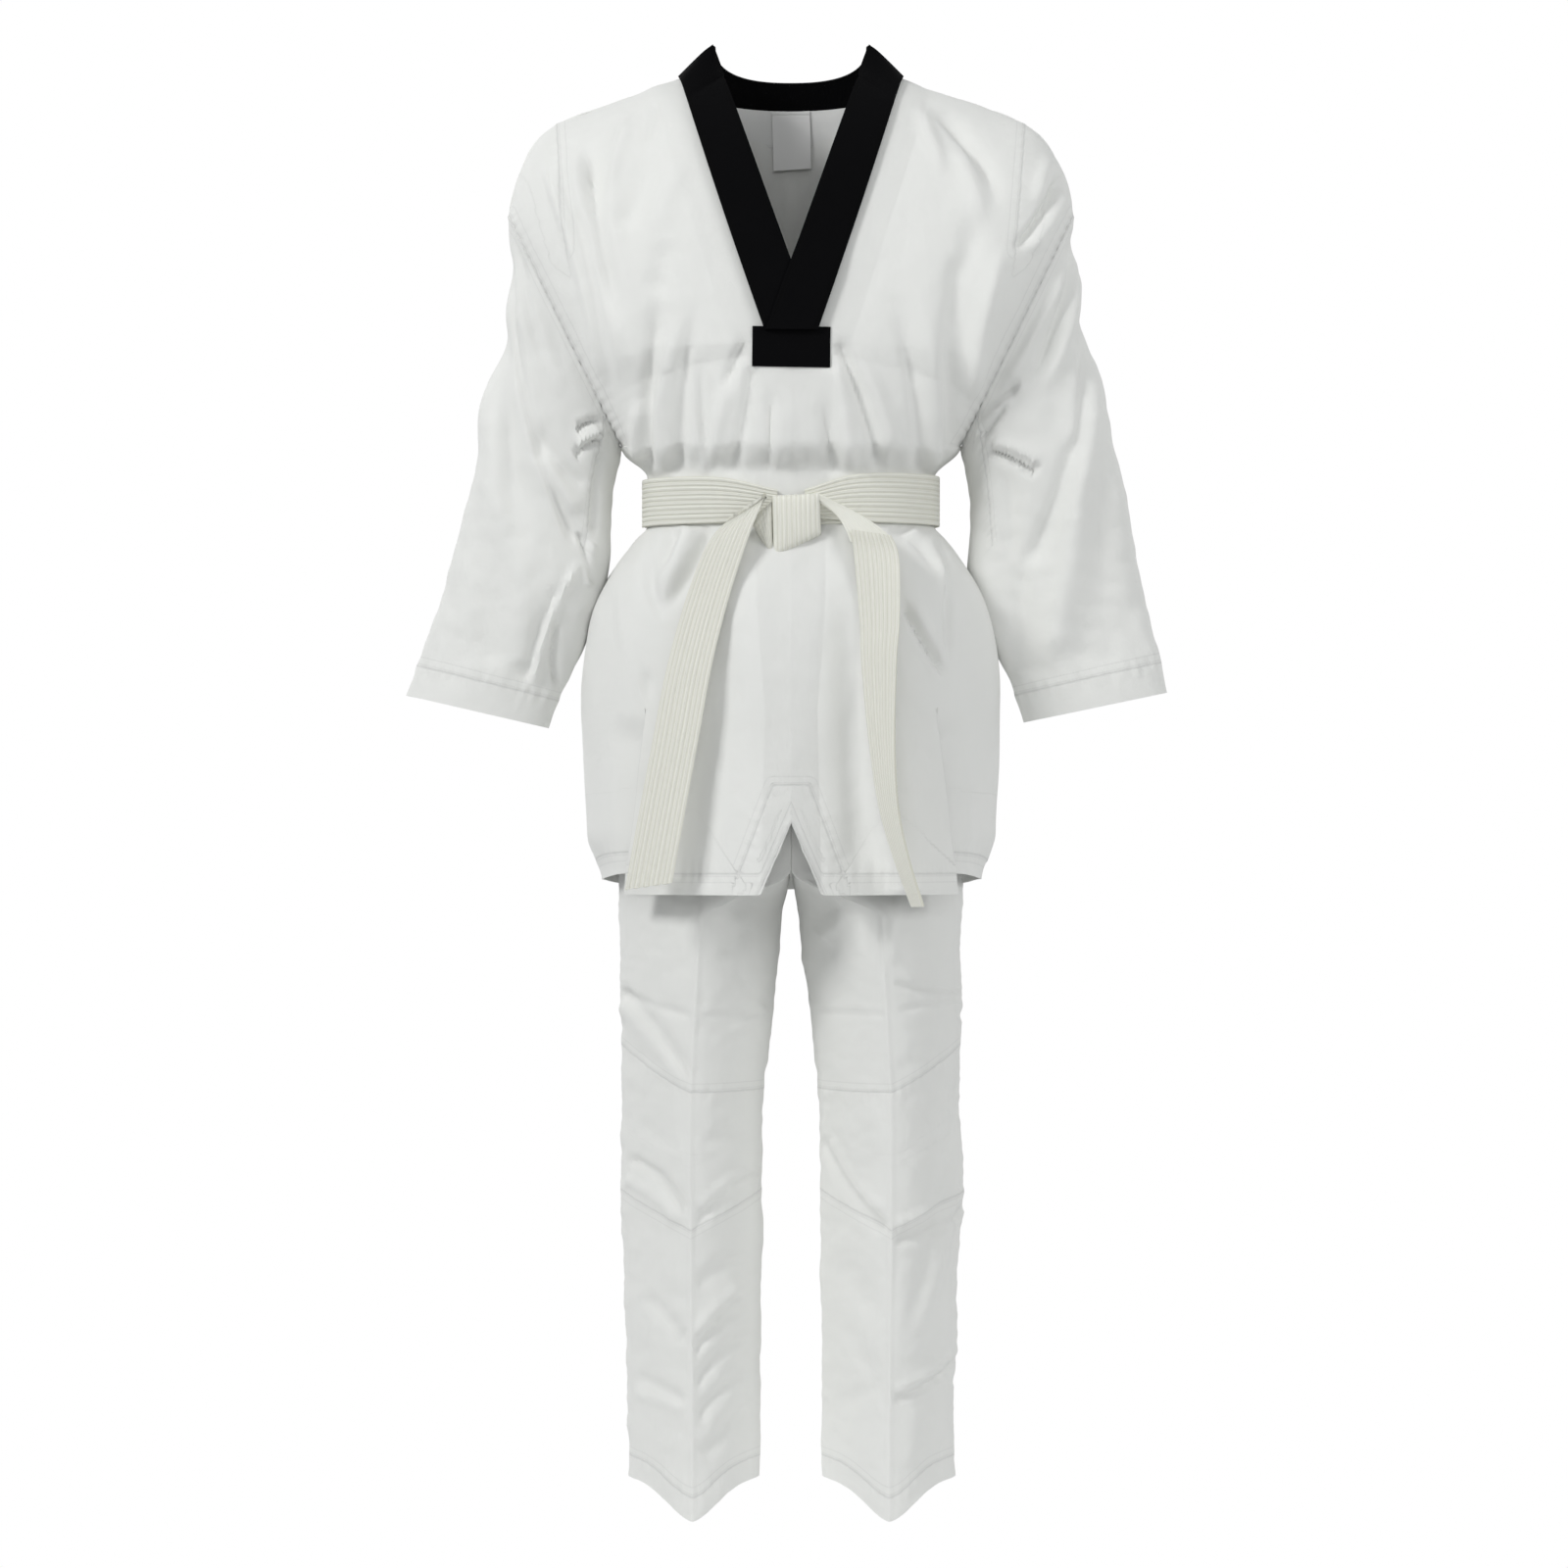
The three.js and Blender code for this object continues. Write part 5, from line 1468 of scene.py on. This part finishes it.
@dataclass
class Belt:
    """The tied belt: two turns, the knot, the folded corner beside it and two hanging ends."""

    wardrobe: Wardrobe
    width: float = 45.0
    middle: float = BELT_Z
    power: float = 2.3
    left_line: tuple[tuple[float, ...], ...] = (
        (-33, -113.6, -403, 38, 0, 25), (-46, -118, -415, 27, 0, 40), (-60, -127, -440, 19, 0, 45),
        (-79, -135, -495, 14, 0, 45), (-96, -142, -560, 12, 0, 45), (-109, -147, -630, 10, 0, 45),
        (-122, -150, -700, 9, 0, 45), (-134, -152, -766, 8, 0, 45),
    )
    right_line: tuple[tuple[float, ...], ...] = (
        (76, -122, -432, -8, 2, 38), (80, -129, -450, -4, 12, 43), (82, -136, -480, 0, 26, 45),
        (83, -143, -520, 0, 36, 45), (82, -148, -555, 0, 44, 45), (84, -156, -625, 0, 58, 45),
        (90, -163, -690, 6, 68, 45), (102, -168, -740, 8, 74, 45), (117, -171, -785, 8, 78, 45),
    )

    def turn(self, name: str, outside: float, droop: float) -> None:
        """One turn round the waist, narrowed and ribbed where the knot draws it in.

        Args:
            name: The piece and the CAD node.
            outside: Distance outside the waist.
            droop: How far the front of the turn hangs.
        """
        degrees = np.linspace(3.6, 356.4, 560)[None, :]
        v = np.linspace(0, 1, 61)[:, None]
        x, y = rounded(139 + outside + 2.2, 100 + outside + 2.2, degrees, self.power)
        near = bump(x, 46) * (y < 0)
        right = smooth(x / 60) * (y < 0)
        left = smooth(-x / 60) * (y < 0)
        top = self.middle + 22.5 - 16 * near + 2.5 * right - 1.0 * left
        foot = self.middle - 22.5 + 4 * near - droop * near - 1.5 * left - 0.5 * right
        z = mix(foot, top, v)
        rib = np.sin(x / 1.9 + v * 1.5) * bump(np.abs(x) - 56, 26) * (y < 0) * 0.5
        relief = webbing(v) + rib * smooth(v / 0.12) * smooth((1 - v) / 0.12)
        relief = relief + ribs(degrees * 2.2, v)
        scale = 1 + relief / 139
        found = sewn(z.shape)
        row = np.round(v * 10)
        found.add((v * 10 - row) * 4.5 + 0 * x, degrees * 2.2 + 0 * v)
        surface = grid(vec(x * scale, y * scale, z), found)
        obj = to_object(name, surface.shell(2.0), self.wardrobe.get(BELT))
        place_piece([name])
        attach(obj, "jacket")

    def end(self, name: str, node: str, body: str, line: Sequence[Sequence[float]]) -> None:
        """A hanging end: a strip along a line, sloped and twisted.

        Each knot of the line has x, y, z, slope, twist and width. The strip's cross direction is
        turned by the slope in the front plane and by the twist about its length.

        Args:
            name: The piece.
            node: The CAD node it stands for.
            body: Not used.
            line: The knots from the top down.
        """
        v = np.linspace(1, 0, 420)[:, None]
        u = np.linspace(-1, 1, 58)[None, :]
        x, y, z, slope, twist, wide = np.moveaxis(spline(line, v[:, 0]), -1, 0)[..., None]
        lean, turn = np.radians(slope), np.radians(twist)
        flat = u * wide * np.cos(turn) / 2
        px = x + flat * np.cos(lean)
        py = y - u * wide * np.sin(turn) / 2
        pz = z + flat * np.sin(lean)
        relief = webbing((u + 1) / 2) + ribs(v * 370, (u + 1) / 2)
        px = px - np.sin(turn) * relief
        py = py - np.cos(turn) * (relief + 1.6)
        row = np.round((u + 1) * 5)
        found = sewn(px.shape)
        found.add(((u + 1) * 5 - row) * 4.5 + 0 * v, v * 370 + 0 * u)
        surface = grid(vec(px, py, pz), found)
        obj = to_object(name, surface.shell(2.8), self.wardrobe.get(BELT))
        place_piece([node])
        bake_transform(obj)

    def strip(
        self, name: str, near: Sequence[Sequence[float]], far: Sequence[Sequence[float]]
    ) -> None:
        """A short stretch of belt between two edges, each a smooth line of x, y, z.

        Args:
            name: The piece.
            near: Knots of the lower edge, from left to right.
            far: Knots of the upper edge.
        """
        s = np.linspace(0, 1, 90)
        v = np.linspace(0, 1, 50)[:, None, None]
        points = mix(spline(near, s)[None], spline(far, s)[None], v)
        points[..., 1] -= webbing(v[..., 0])
        surface = grid(points)
        obj = to_object(name, surface.shell(2.2), self.wardrobe.get(BELT))
        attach(obj, "jacket")

    def knot(self) -> None:
        """The knot's face, wrapped over the turns, and the folded corner beside it."""
        surface = pillow(
            [(-17, -456), (28.5, -433.5), (27.5, -394), (-18, -396.5)], -119.0, -104.6, 2.0, 96, 5, 10
        )
        x, y, z = surface.points.T
        rows = np.where(y < -106, webbing(np.clip((x + 17) / 45, 0, 1)) + ribs(z * 1.2, x / 45), 0.0)
        surface.points[:, 1] -= rows
        obj = to_object("belt_knot", surface, self.wardrobe.get(BELT))
        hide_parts("belt_knot")
        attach(obj, "jacket")
        surface = pillow(
            [(-18.6, -455), (-17.0, -454), (-17.8, -401), (-39, -420)], -115.0, -104.8, 1.5, 64, 4, 6
        )
        x, y, z = surface.points.T
        across = x * 0.8 - z * 0.6
        rows = np.where(y < -106, webbing((across / 45) % 1.0) + ribs(z, across / 45), 0.0)
        surface.points[:, 1] -= rows
        obj = to_object("belt_knot_fold", surface, self.wardrobe.get(BELT))
        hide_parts("belt_knot_fold")
        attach(obj, "jacket")

    def build(self) -> None:
        """Makes every piece of the belt."""
        self.turn("belt_inner_wrap", 0.6, 8.0)
        self.turn("belt_outer_wrap", 3.1, 0.0)
        self.knot()
        self.end("belt_tail_left", "belt_tail_left", "left_belt_tail", self.left_line)
        self.end("belt_tail_right", "belt_tail_right", "right_belt_tail", self.right_line)
        self.strip(
            "belt_knot_right",
            [(26, -113, -400), (42, -116, -414), (52, -119, -430), (56, -122, -441)],
            [(26, -112, -396), (54, -115, -409), (80, -117, -424), (97, -119, -438)],
        )


# ---------------------------------------------------------------- trousers


LEFT_LEG_FOLDS = (
    Fold((-168, -866), (-92, -956), -4.2, 7, -5, 0.6, (0.1, 0.1)),
    Fold((-168, -880), (-100, -962), 3.2, 9, -5, 1.0, (0.1, 0.2)),
    Fold((-166, -872), (-90, -893), -1.8, 4, 0, 1.0, (0.05, 0.1)),
    Fold((-84, -891), (-24, -891), -1.8, 3, 0, 0.6, (0.05, 0.05)),
    Fold((-60, -910), (-24, -884), 2.4, 6, 2, 1.0, (0.2, 0.1)),
    Fold((-30, -800), (-70, -840), -2.6, 8, 0, 1.0),
    Fold((-28, -770), (-60, -800), -3.0, 8, 4, 1.0, (0.1, 0.3)),
    Fold((-158, -1030), (-99, -1082), -4.8, 6, -8, 0.6, (0.1, 0.1)),
    Fold((-160, -1050), (-104, -1092), 3.4, 7, -6, 1.0, (0.1, 0.15)),
    Fold((-90, -1090), (-28, -1046), -3.6, 7, -6, 0.7, (0.1, 0.1)),
    Fold((-88, -1076), (-30, -1040), 2.8, 7, -5, 1.0, (0.1, 0.2)),
    Fold((-88, -1016), (-34, -990), -2.2, 8, 0, 1.0),
    Fold((-152, -990), (-104, -1020), -1.8, 10, 0, 1.0),
    Fold((-94, -1214), (-42, -1166), -4.0, 7, -4, 0.7, (0.1, 0.2)),
    Fold((-92, -1196), (-44, -1150), 3.0, 7, -4, 1.0, (0.1, 0.2)),
    Fold((-92, -1246), (-40, -1196), -3.8, 7, -4, 0.7, (0.1, 0.2)),
    Fold((-90, -1278), (-40, -1232), -3.6, 7, -4, 0.7, (0.1, 0.2)),
    Fold((-84, -1316), (-34, -1262), -3.0, 8, -3, 0.8, (0.1, 0.2)),
    Fold((-90, -1150), (-40, -1120), -2.6, 8, -3, 0.8, (0.1, 0.2)),
    Fold((-144, -1160), (-101, -1202), -3.0, 8, -4, 0.8, (0.2, 0.1)),
    Fold((-152, -1240), (-100, -1260), -3.0, 6, -3, 0.7, (0.2, 0.1)),
    Fold((-156, -1256), (-100, -1270), 2.0, 7, -3, 1.0, (0.2, 0.1)),
    Fold((-140, -1120), (-130, -1240), 2.2, 12, 0, 1.0),
)

RIGHT_LEG_FOLDS = (
    Fold((85, -800), (92, -862), -2.8, 4, 2, 0.7, (0.1, 0.1)),
    Fold((97, -770), (94, -850), 2.6, 6, 0, 1.0, (0.1, 0.3)),
    Fold((96, -860), (170, -874), -2.8, 4, 2, 0.6, (0.1, 0.1)),
    Fold((26, -890), (90, -890), -1.8, 3, 0, 0.6, (0.05, 0.05)),
    Fold((100, -886), (172, -876), -1.6, 3, 0, 0.6, (0.1, 0.05)),
    Fold((30, -820), (56, -790), 3.0, 8, 0, 1.0, (0.1, 0.2)),
    Fold((29, -1010), (94, -1100), -4.6, 7, 7, 0.7, (0.1, 0.1)),
    Fold((36, -1010), (94, -1084), 3.2, 8, 6, 1.0, (0.1, 0.2)),
    Fold((40, -1000), (70, -1060), -2.4, 6, 3, 1.0),
    Fold((97, -1106), (176, -1080), -3.8, 6, 5, 0.7, (0.08, 0.08)),
    Fold((97, -1090), (170, -1062), 2.8, 7, 5, 1.0, (0.1, 0.1)),
    Fold((106, -1214), (170, -930), -3.0, 9, 6, 0.8, (0.3, 0.1)),
    Fold((120, -1210), (176, -960), 2.8, 9, 6, 1.0, (0.3, 0.1)),
    Fold((138, -1190), (178, -1010), -2.6, 7, 4, 0.8, (0.3, 0.1)),
    Fold((96, -1260), (168, -1222), -3.6, 5, 4, 0.5, (0.08, 0.08)),
    Fold((96, -1250), (168, -1212), 2.4, 6, 4, 1.0, (0.1, 0.1)),
    Fold((48, -1180), (88, -1250), -2.4, 9, 3, 0.8),
    Fold((50, -1120), (84, -1180), -3.0, 12, 3, 1.0),
    Fold((44, -1270), (90, -1240), -2.0, 8, 0, 1.0),
    Fold((120, -1260), (114, -1330), 2.2, 10, 0, 1.0),
)


@dataclass
class Trousers:
    """Pressed trousers: waistband with elastic, hips, and two legs with knee panels.

    The values ending in _cut are areas in square metres, read off the modelled cloth, and are not used.
    """

    wardrobe: Wardrobe
    hip_levels: tuple[Level, ...] = (
        Level(-470.3, 128, 92), Level(-660, 172, 108), Level(-752, 166, 100),
    )
    leg_levels: tuple[Level, ...] = (
        Level(-752.3, 80, 96, 86), Level(-1015, 68, 84, 96), Level(-1340, 64, 78, 94),
    )
    waist: tuple[float, float] = (128.0, 92.0)
    crotch: float = -752.0
    hem: float = -1340.0
    power: float = 2.3
    leg_power: float = 1.62
    cloth: float = 1.6
    knee_top: float = -958.0
    thigh_cut: float = 0.221
    shin_cut: float = 0.178
    gusset_cut: float = 0.0083
    dip: float = 34.0

    def hip_points(self, degrees: Array, z: Array) -> Array:
        """Points of the hips' right half: 0 at the front seam, 180 at the back seam."""
        width, depth, _ = size_at(self.hip_levels, z)
        x, y = rounded(width, depth, degrees, self.power)
        return vec(np.maximum(x, 0.2), y, z)

    def leg_points(self, degrees: Array, z: Array, dip: Array) -> Array:
        """Points of the right leg from the front crease (0) over the outer side (90) to the back.

        The section has a power below 2, so it comes to a blunt ridge at the creases. The hem
        dips there by `dip` |cos|^6.
        """
        width, depth, middle = size_at(self.leg_levels, z)
        x, y = rounded(width, depth, degrees, self.leg_power)
        low = self.dip * np.abs(np.cos(np.radians(degrees))) ** 6 * dip
        return vec(middle + x, y, z - low)

    def relief(self, surface: Surface, folds: Sequence[Fold], seed: int) -> Surface:
        """The surface with its folds, a ridge along each crease and slight waves."""
        x, y, z = surface.points.T
        front = smooth((-y + 4) / 20)
        height = sum(fold.at(x, z) for fold in folds) * front
        height = height + sum(fold.at(x, z + 20) for fold in folds[::2]) * (1 - front) * 0.8
        _, _, middle = size_at(self.leg_levels, z)
        crease = bump(np.abs(x) - middle, 2.2) * np.where(z < self.crotch, 1.0, 0.0)
        waves = Crumple(seed, 0.9, (40, 130), 1.2).at(x, z) + Crumple(seed + 1, 0.4, (14, 36)).at(x, z)
        calm = 1 - 0.75 * bump(np.abs(x) - middle, 5)
        return surface.moved((height * 1.25 + waves) * calm + 1.6 * crease + surface.lift)

    def knee_line(self, degrees: Array) -> Array:
        """Height of the seam above the knee: it rises by 42 mm towards the outer side."""
        return self.knee_top - 6 + 42 * np.maximum(np.sin(np.radians(degrees)), 0) ** 1.5

    def shin_line(self, degrees: Array) -> Array:
        """Height of the seam below the knee: lowest at the crease, 34 mm higher at the sides."""
        return -1096 + 34 * np.abs(np.sin(np.radians(degrees))) ** 1.2

    def seams(self, points: Array, ring: Array, z: Array) -> Sewing:
        """Seams of a leg: above and below the knee, along the outer side, and the hem."""
        around = arc(points, 1) / MM
        found = sewn(points.shape[:2])
        found.add(z - self.knee_line(ring), around)
        front = np.cos(np.radians(ring)) > 0.03
        found.add(np.where(front, self.shin_line(ring) - z, FAR), around)
        found.add(np.where(z < -1250, z - self.hem - 21.0, FAR), around)
        found.add(np.where(np.abs(ring - 96) < 30, (ring - 96) * 1.2, FAR) + 0 * z, z)
        return found

    def leg(self, name: str) -> None:
        """Half of the hips and one leg, made as one cloth and parted at the seam above the knee.

        Between the hips and the leg the section changes from a half of the hips' ring to the
        leg's closed ring over the 48 mm below the crotch.
        """
        sign = SIDES[name]
        outer = np.linspace(0, 180, 73)[None, :]
        hips_z = np.linspace(self.crotch, -470.3, 80)[:, None]
        hips = self.hip_points(outer, hips_z + 0 * outer)
        ring = np.linspace(0, 360, 145)[None, :]
        split = self.knee_line(ring)
        low_z = mix(self.hem, split, np.linspace(0, 1, 124)[:, None])
        high_z = mix(split, self.crotch, np.linspace(0, 1, 66)[:, None])
        low = self.leg_points(ring, low_z, smooth((-1200 - low_z) / 140))
        high = self.leg_points(ring, high_z, 0 * high_z)
        hip_row = self.hip_points(outer, np.full_like(outer, self.crotch))[0]
        lens = vec(1.0, np.linspace(hip_row[-1, 1], hip_row[0, 1], 73), self.crotch)
        round_row = np.vstack([hip_row, lens[1:]])[None]
        shift = (round_row - high[-1:]) * smooth((high_z - self.crotch + 48) / 48)[..., None]
        shift[..., 2] = 0
        high = high + shift
        parts = []
        for label, points, z in ((0, low, low_z), (1, high, high_z)):
            found = self.seams(points, ring, z)
            turned = Sewing(found.distance[:, ::-1], found.along[:, ::-1])
            parts.append(grid(points[:, ::-1], turned, 0.55, label))
        parts.append(grid(hips[:, ::-1], part=1))
        surface = joined(*parts).flipped()
        surface = surface if sign > 0 else surface.mirrored()
        folds = LEFT_LEG_FOLDS if sign < 0 else RIGHT_LEG_FOLDS
        surface = self.relief(surface, folds, 41 if sign > 0 else 43)
        finish = self.wardrobe.get(TROUSER)
        thigh = to_object(f"{name}_trouser_leg", surface.shell(self.cloth, 1), finish)
        above = ("hip_front", "hip_back", "thigh_top", "thigh_front", "thigh_back")
        place_piece(
            [f"{name}_{part}" for part in above],
        )
        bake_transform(thigh)
        shin = to_object(f"{name}_trouser_shin", surface.shell(self.cloth, 0), finish)
        below = ("knee_panel", "knee_back", "shin_front", "shin_back")
        place_piece(
            [f"{name}_{part}" for part in below],
        )
        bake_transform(shin)

    def ring(self, name: str, inset: float, low: float, high: float, cloth: Cloth, thick: float) -> None:
        """A gathered ring of the waistband.

        Args:
            name: The piece and the CAD node.
            inset: Distance inside the waistband's outer size.
            low: Lower height.
            high: Upper height.
            cloth: Its finish.
            thick: Its thickness.
        """
        degrees = np.linspace(360, 0, 241)[None, :]
        v = np.linspace(0, 1, 22)[:, None]
        width, depth = self.waist
        x, y = rounded(width - inset, depth - inset, degrees, self.power)
        gather = 0.7 * np.sin(np.radians(degrees) * 66) * np.sin(math.pi * v)
        scale = 1 + gather / width
        surface = grid(vec(x * scale, y * scale, mix(low, high, v))).welded().flipped()
        obj = to_object(name, surface.shell(thick), self.wardrobe.get(cloth))
        place_piece(
            [name],
        )
        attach(obj, "trousers")

    def gusset(self) -> None:
        """The piece that joins the legs under the crotch: a lens between the front and the back."""
        u = np.linspace(-1, 1, 17)[None, :]
        v = np.linspace(0, 1, 61)[:, None]
        half = 28 * np.sin(math.pi * mix(0.12, 0.88, v))
        y = mix(97, -97, v)
        z = -750.4 + 1.2 * u**2
        surface = grid(vec(u * half, y, z + 0 * v))
        obj = to_object("crotch_gusset", surface.shell(-1.2), self.wardrobe.get(TROUSER))
        place_piece(
            ["crotch_gusset"],
        )
        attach(obj, "trousers")

    def build(self) -> None:
        """Makes every piece of the trousers."""
        for name in SIDES:
            self.leg(name)
        self.ring("waistband", 0.0, -470, -428, TROUSER, 1.4)
        self.ring("waist_elastic", 2.4, -466, -432, ELASTIC, 1.2)
        self.ring("waistband_facing", 4.4, -470, -428, LINING, 1.0)
        self.gusset()


# ---------------------------------------------------------------- studio


class Studio:
    """A pale round floor, soft lights, a white surround and the camera."""

    floor: float = -1.62
    radius: float = 1.15

    def ground(self) -> None:
        """A flat disc under the uniform: rings of points at even steps of radius."""
        turn = np.linspace(0, 2 * math.pi, 73)[None, :]
        reach = np.linspace(1.0, 0.02, 6)[:, None] * self.radius
        x, y = reach * np.cos(turn), reach * np.sin(turn)
        n = Nodes("studio_floor")
        place = n.node("ShaderNodeTexCoord").outputs["Object"]
        pale = n.blend(n.noise(place, 3.0, 2.0), (0.86, 0.86, 0.86), (0.9, 0.9, 0.9))
        n.link(pale, n.shader.inputs["Base Color"])
        n.shader.inputs["Roughness"].default_value = 0.9
        points = vec(x, y, self.floor + 0 * x) / MM
        to_object("studio_floor", grid(points).welded(), n.material)

    def surround(self) -> None:
        """A world that lights the uniform gently and is white where the lens sees it."""
        world = bpy.data.worlds.new("studio_light")
        world.use_nodes = True
        tree = world.node_tree
        soft = tree.nodes["Background"]
        soft.inputs[0].default_value = (0.97, 0.99, 1.0, 1.0)
        soft.inputs[1].default_value = 0.42
        white = tree.nodes.new("ShaderNodeBackground")
        white.inputs[0].default_value = (1.0, 1.0, 1.0, 1.0)
        white.inputs[1].default_value = 1.0
        seen = tree.nodes.new("ShaderNodeLightPath")
        mixed = tree.nodes.new("ShaderNodeMixShader")
        tree.links.new(seen.outputs["Is Camera Ray"], mixed.inputs[0])
        tree.links.new(soft.outputs[0], mixed.inputs[1])
        tree.links.new(white.outputs[0], mixed.inputs[2])
        tree.links.new(mixed.outputs[0], tree.nodes["World Output"].inputs[0])
        bpy.context.scene.world = world
        bpy.context.scene.view_settings.view_transform = "Standard"

    def light(self, name: str, place: tuple[float, float, float], size: float, power: float) -> None:
        """A square soft light aimed at the uniform's middle."""
        lamp = bpy.data.lights.new(name, "AREA")
        lamp.size = size
        lamp.energy = power
        obj = bpy.data.objects.new(name, lamp)
        obj.location = place
        aim = Vector((0, 0, -0.7)) - Vector(place)
        obj.rotation_euler = aim.to_track_quat("-Z", "Y").to_euler()
        bpy.context.scene.collection.objects.link(obj)

    def camera(self) -> None:
        """A long lens level with the uniform's middle, 5 m in front of it."""
        lens = bpy.data.cameras.new("camera")
        lens.sensor_width = 36.0
        lens.lens = 118.4
        obj = bpy.data.objects.new("camera", lens)
        obj.location = (-0.0067, -5.0, -0.67)
        obj.rotation_euler = (math.pi / 2, 0, 0)
        bpy.context.scene.collection.objects.link(obj)
        bpy.context.scene.camera = obj

    def build(self) -> None:
        """Makes the camera, the floor, the lights and the surround."""
        self.camera()
        self.ground()
        self.surround()
        self.light("key", (-3.0, -2.6, 1.9), 1.1, 102.0)
        self.light("fill", (3.6, -2.4, 0.9), 2.0, 52.0)
        self.light("front", (0.2, -5.6, 0.6), 2.4, 36.0)
        self.light("back_left", (-2.4, 3.2, 1.4), 1.8, 56.0)
        self.light("back_right", (2.8, 2.6, 0.6), 1.8, 26.0)


def main() -> None:
    """Builds the uniform piece by piece, then the studio."""
    logging.basicConfig(level=logging.INFO, format="%(message)s")
    Studio().build()
    wardrobe = Wardrobe()
    Jacket(wardrobe).build()
    Sleeve(wardrobe, "left", (-304.0, -600.0), LEFT_SLEEVE_FOLDS, slim=38.0).build()
    Sleeve(wardrobe, "right", (295.0, -596.0), RIGHT_SLEEVE_FOLDS).build()
    Belt(wardrobe).build()
    Trousers(wardrobe).build()
    bpy.context.view_layer.update()


if __name__ == "__main__":
    main()
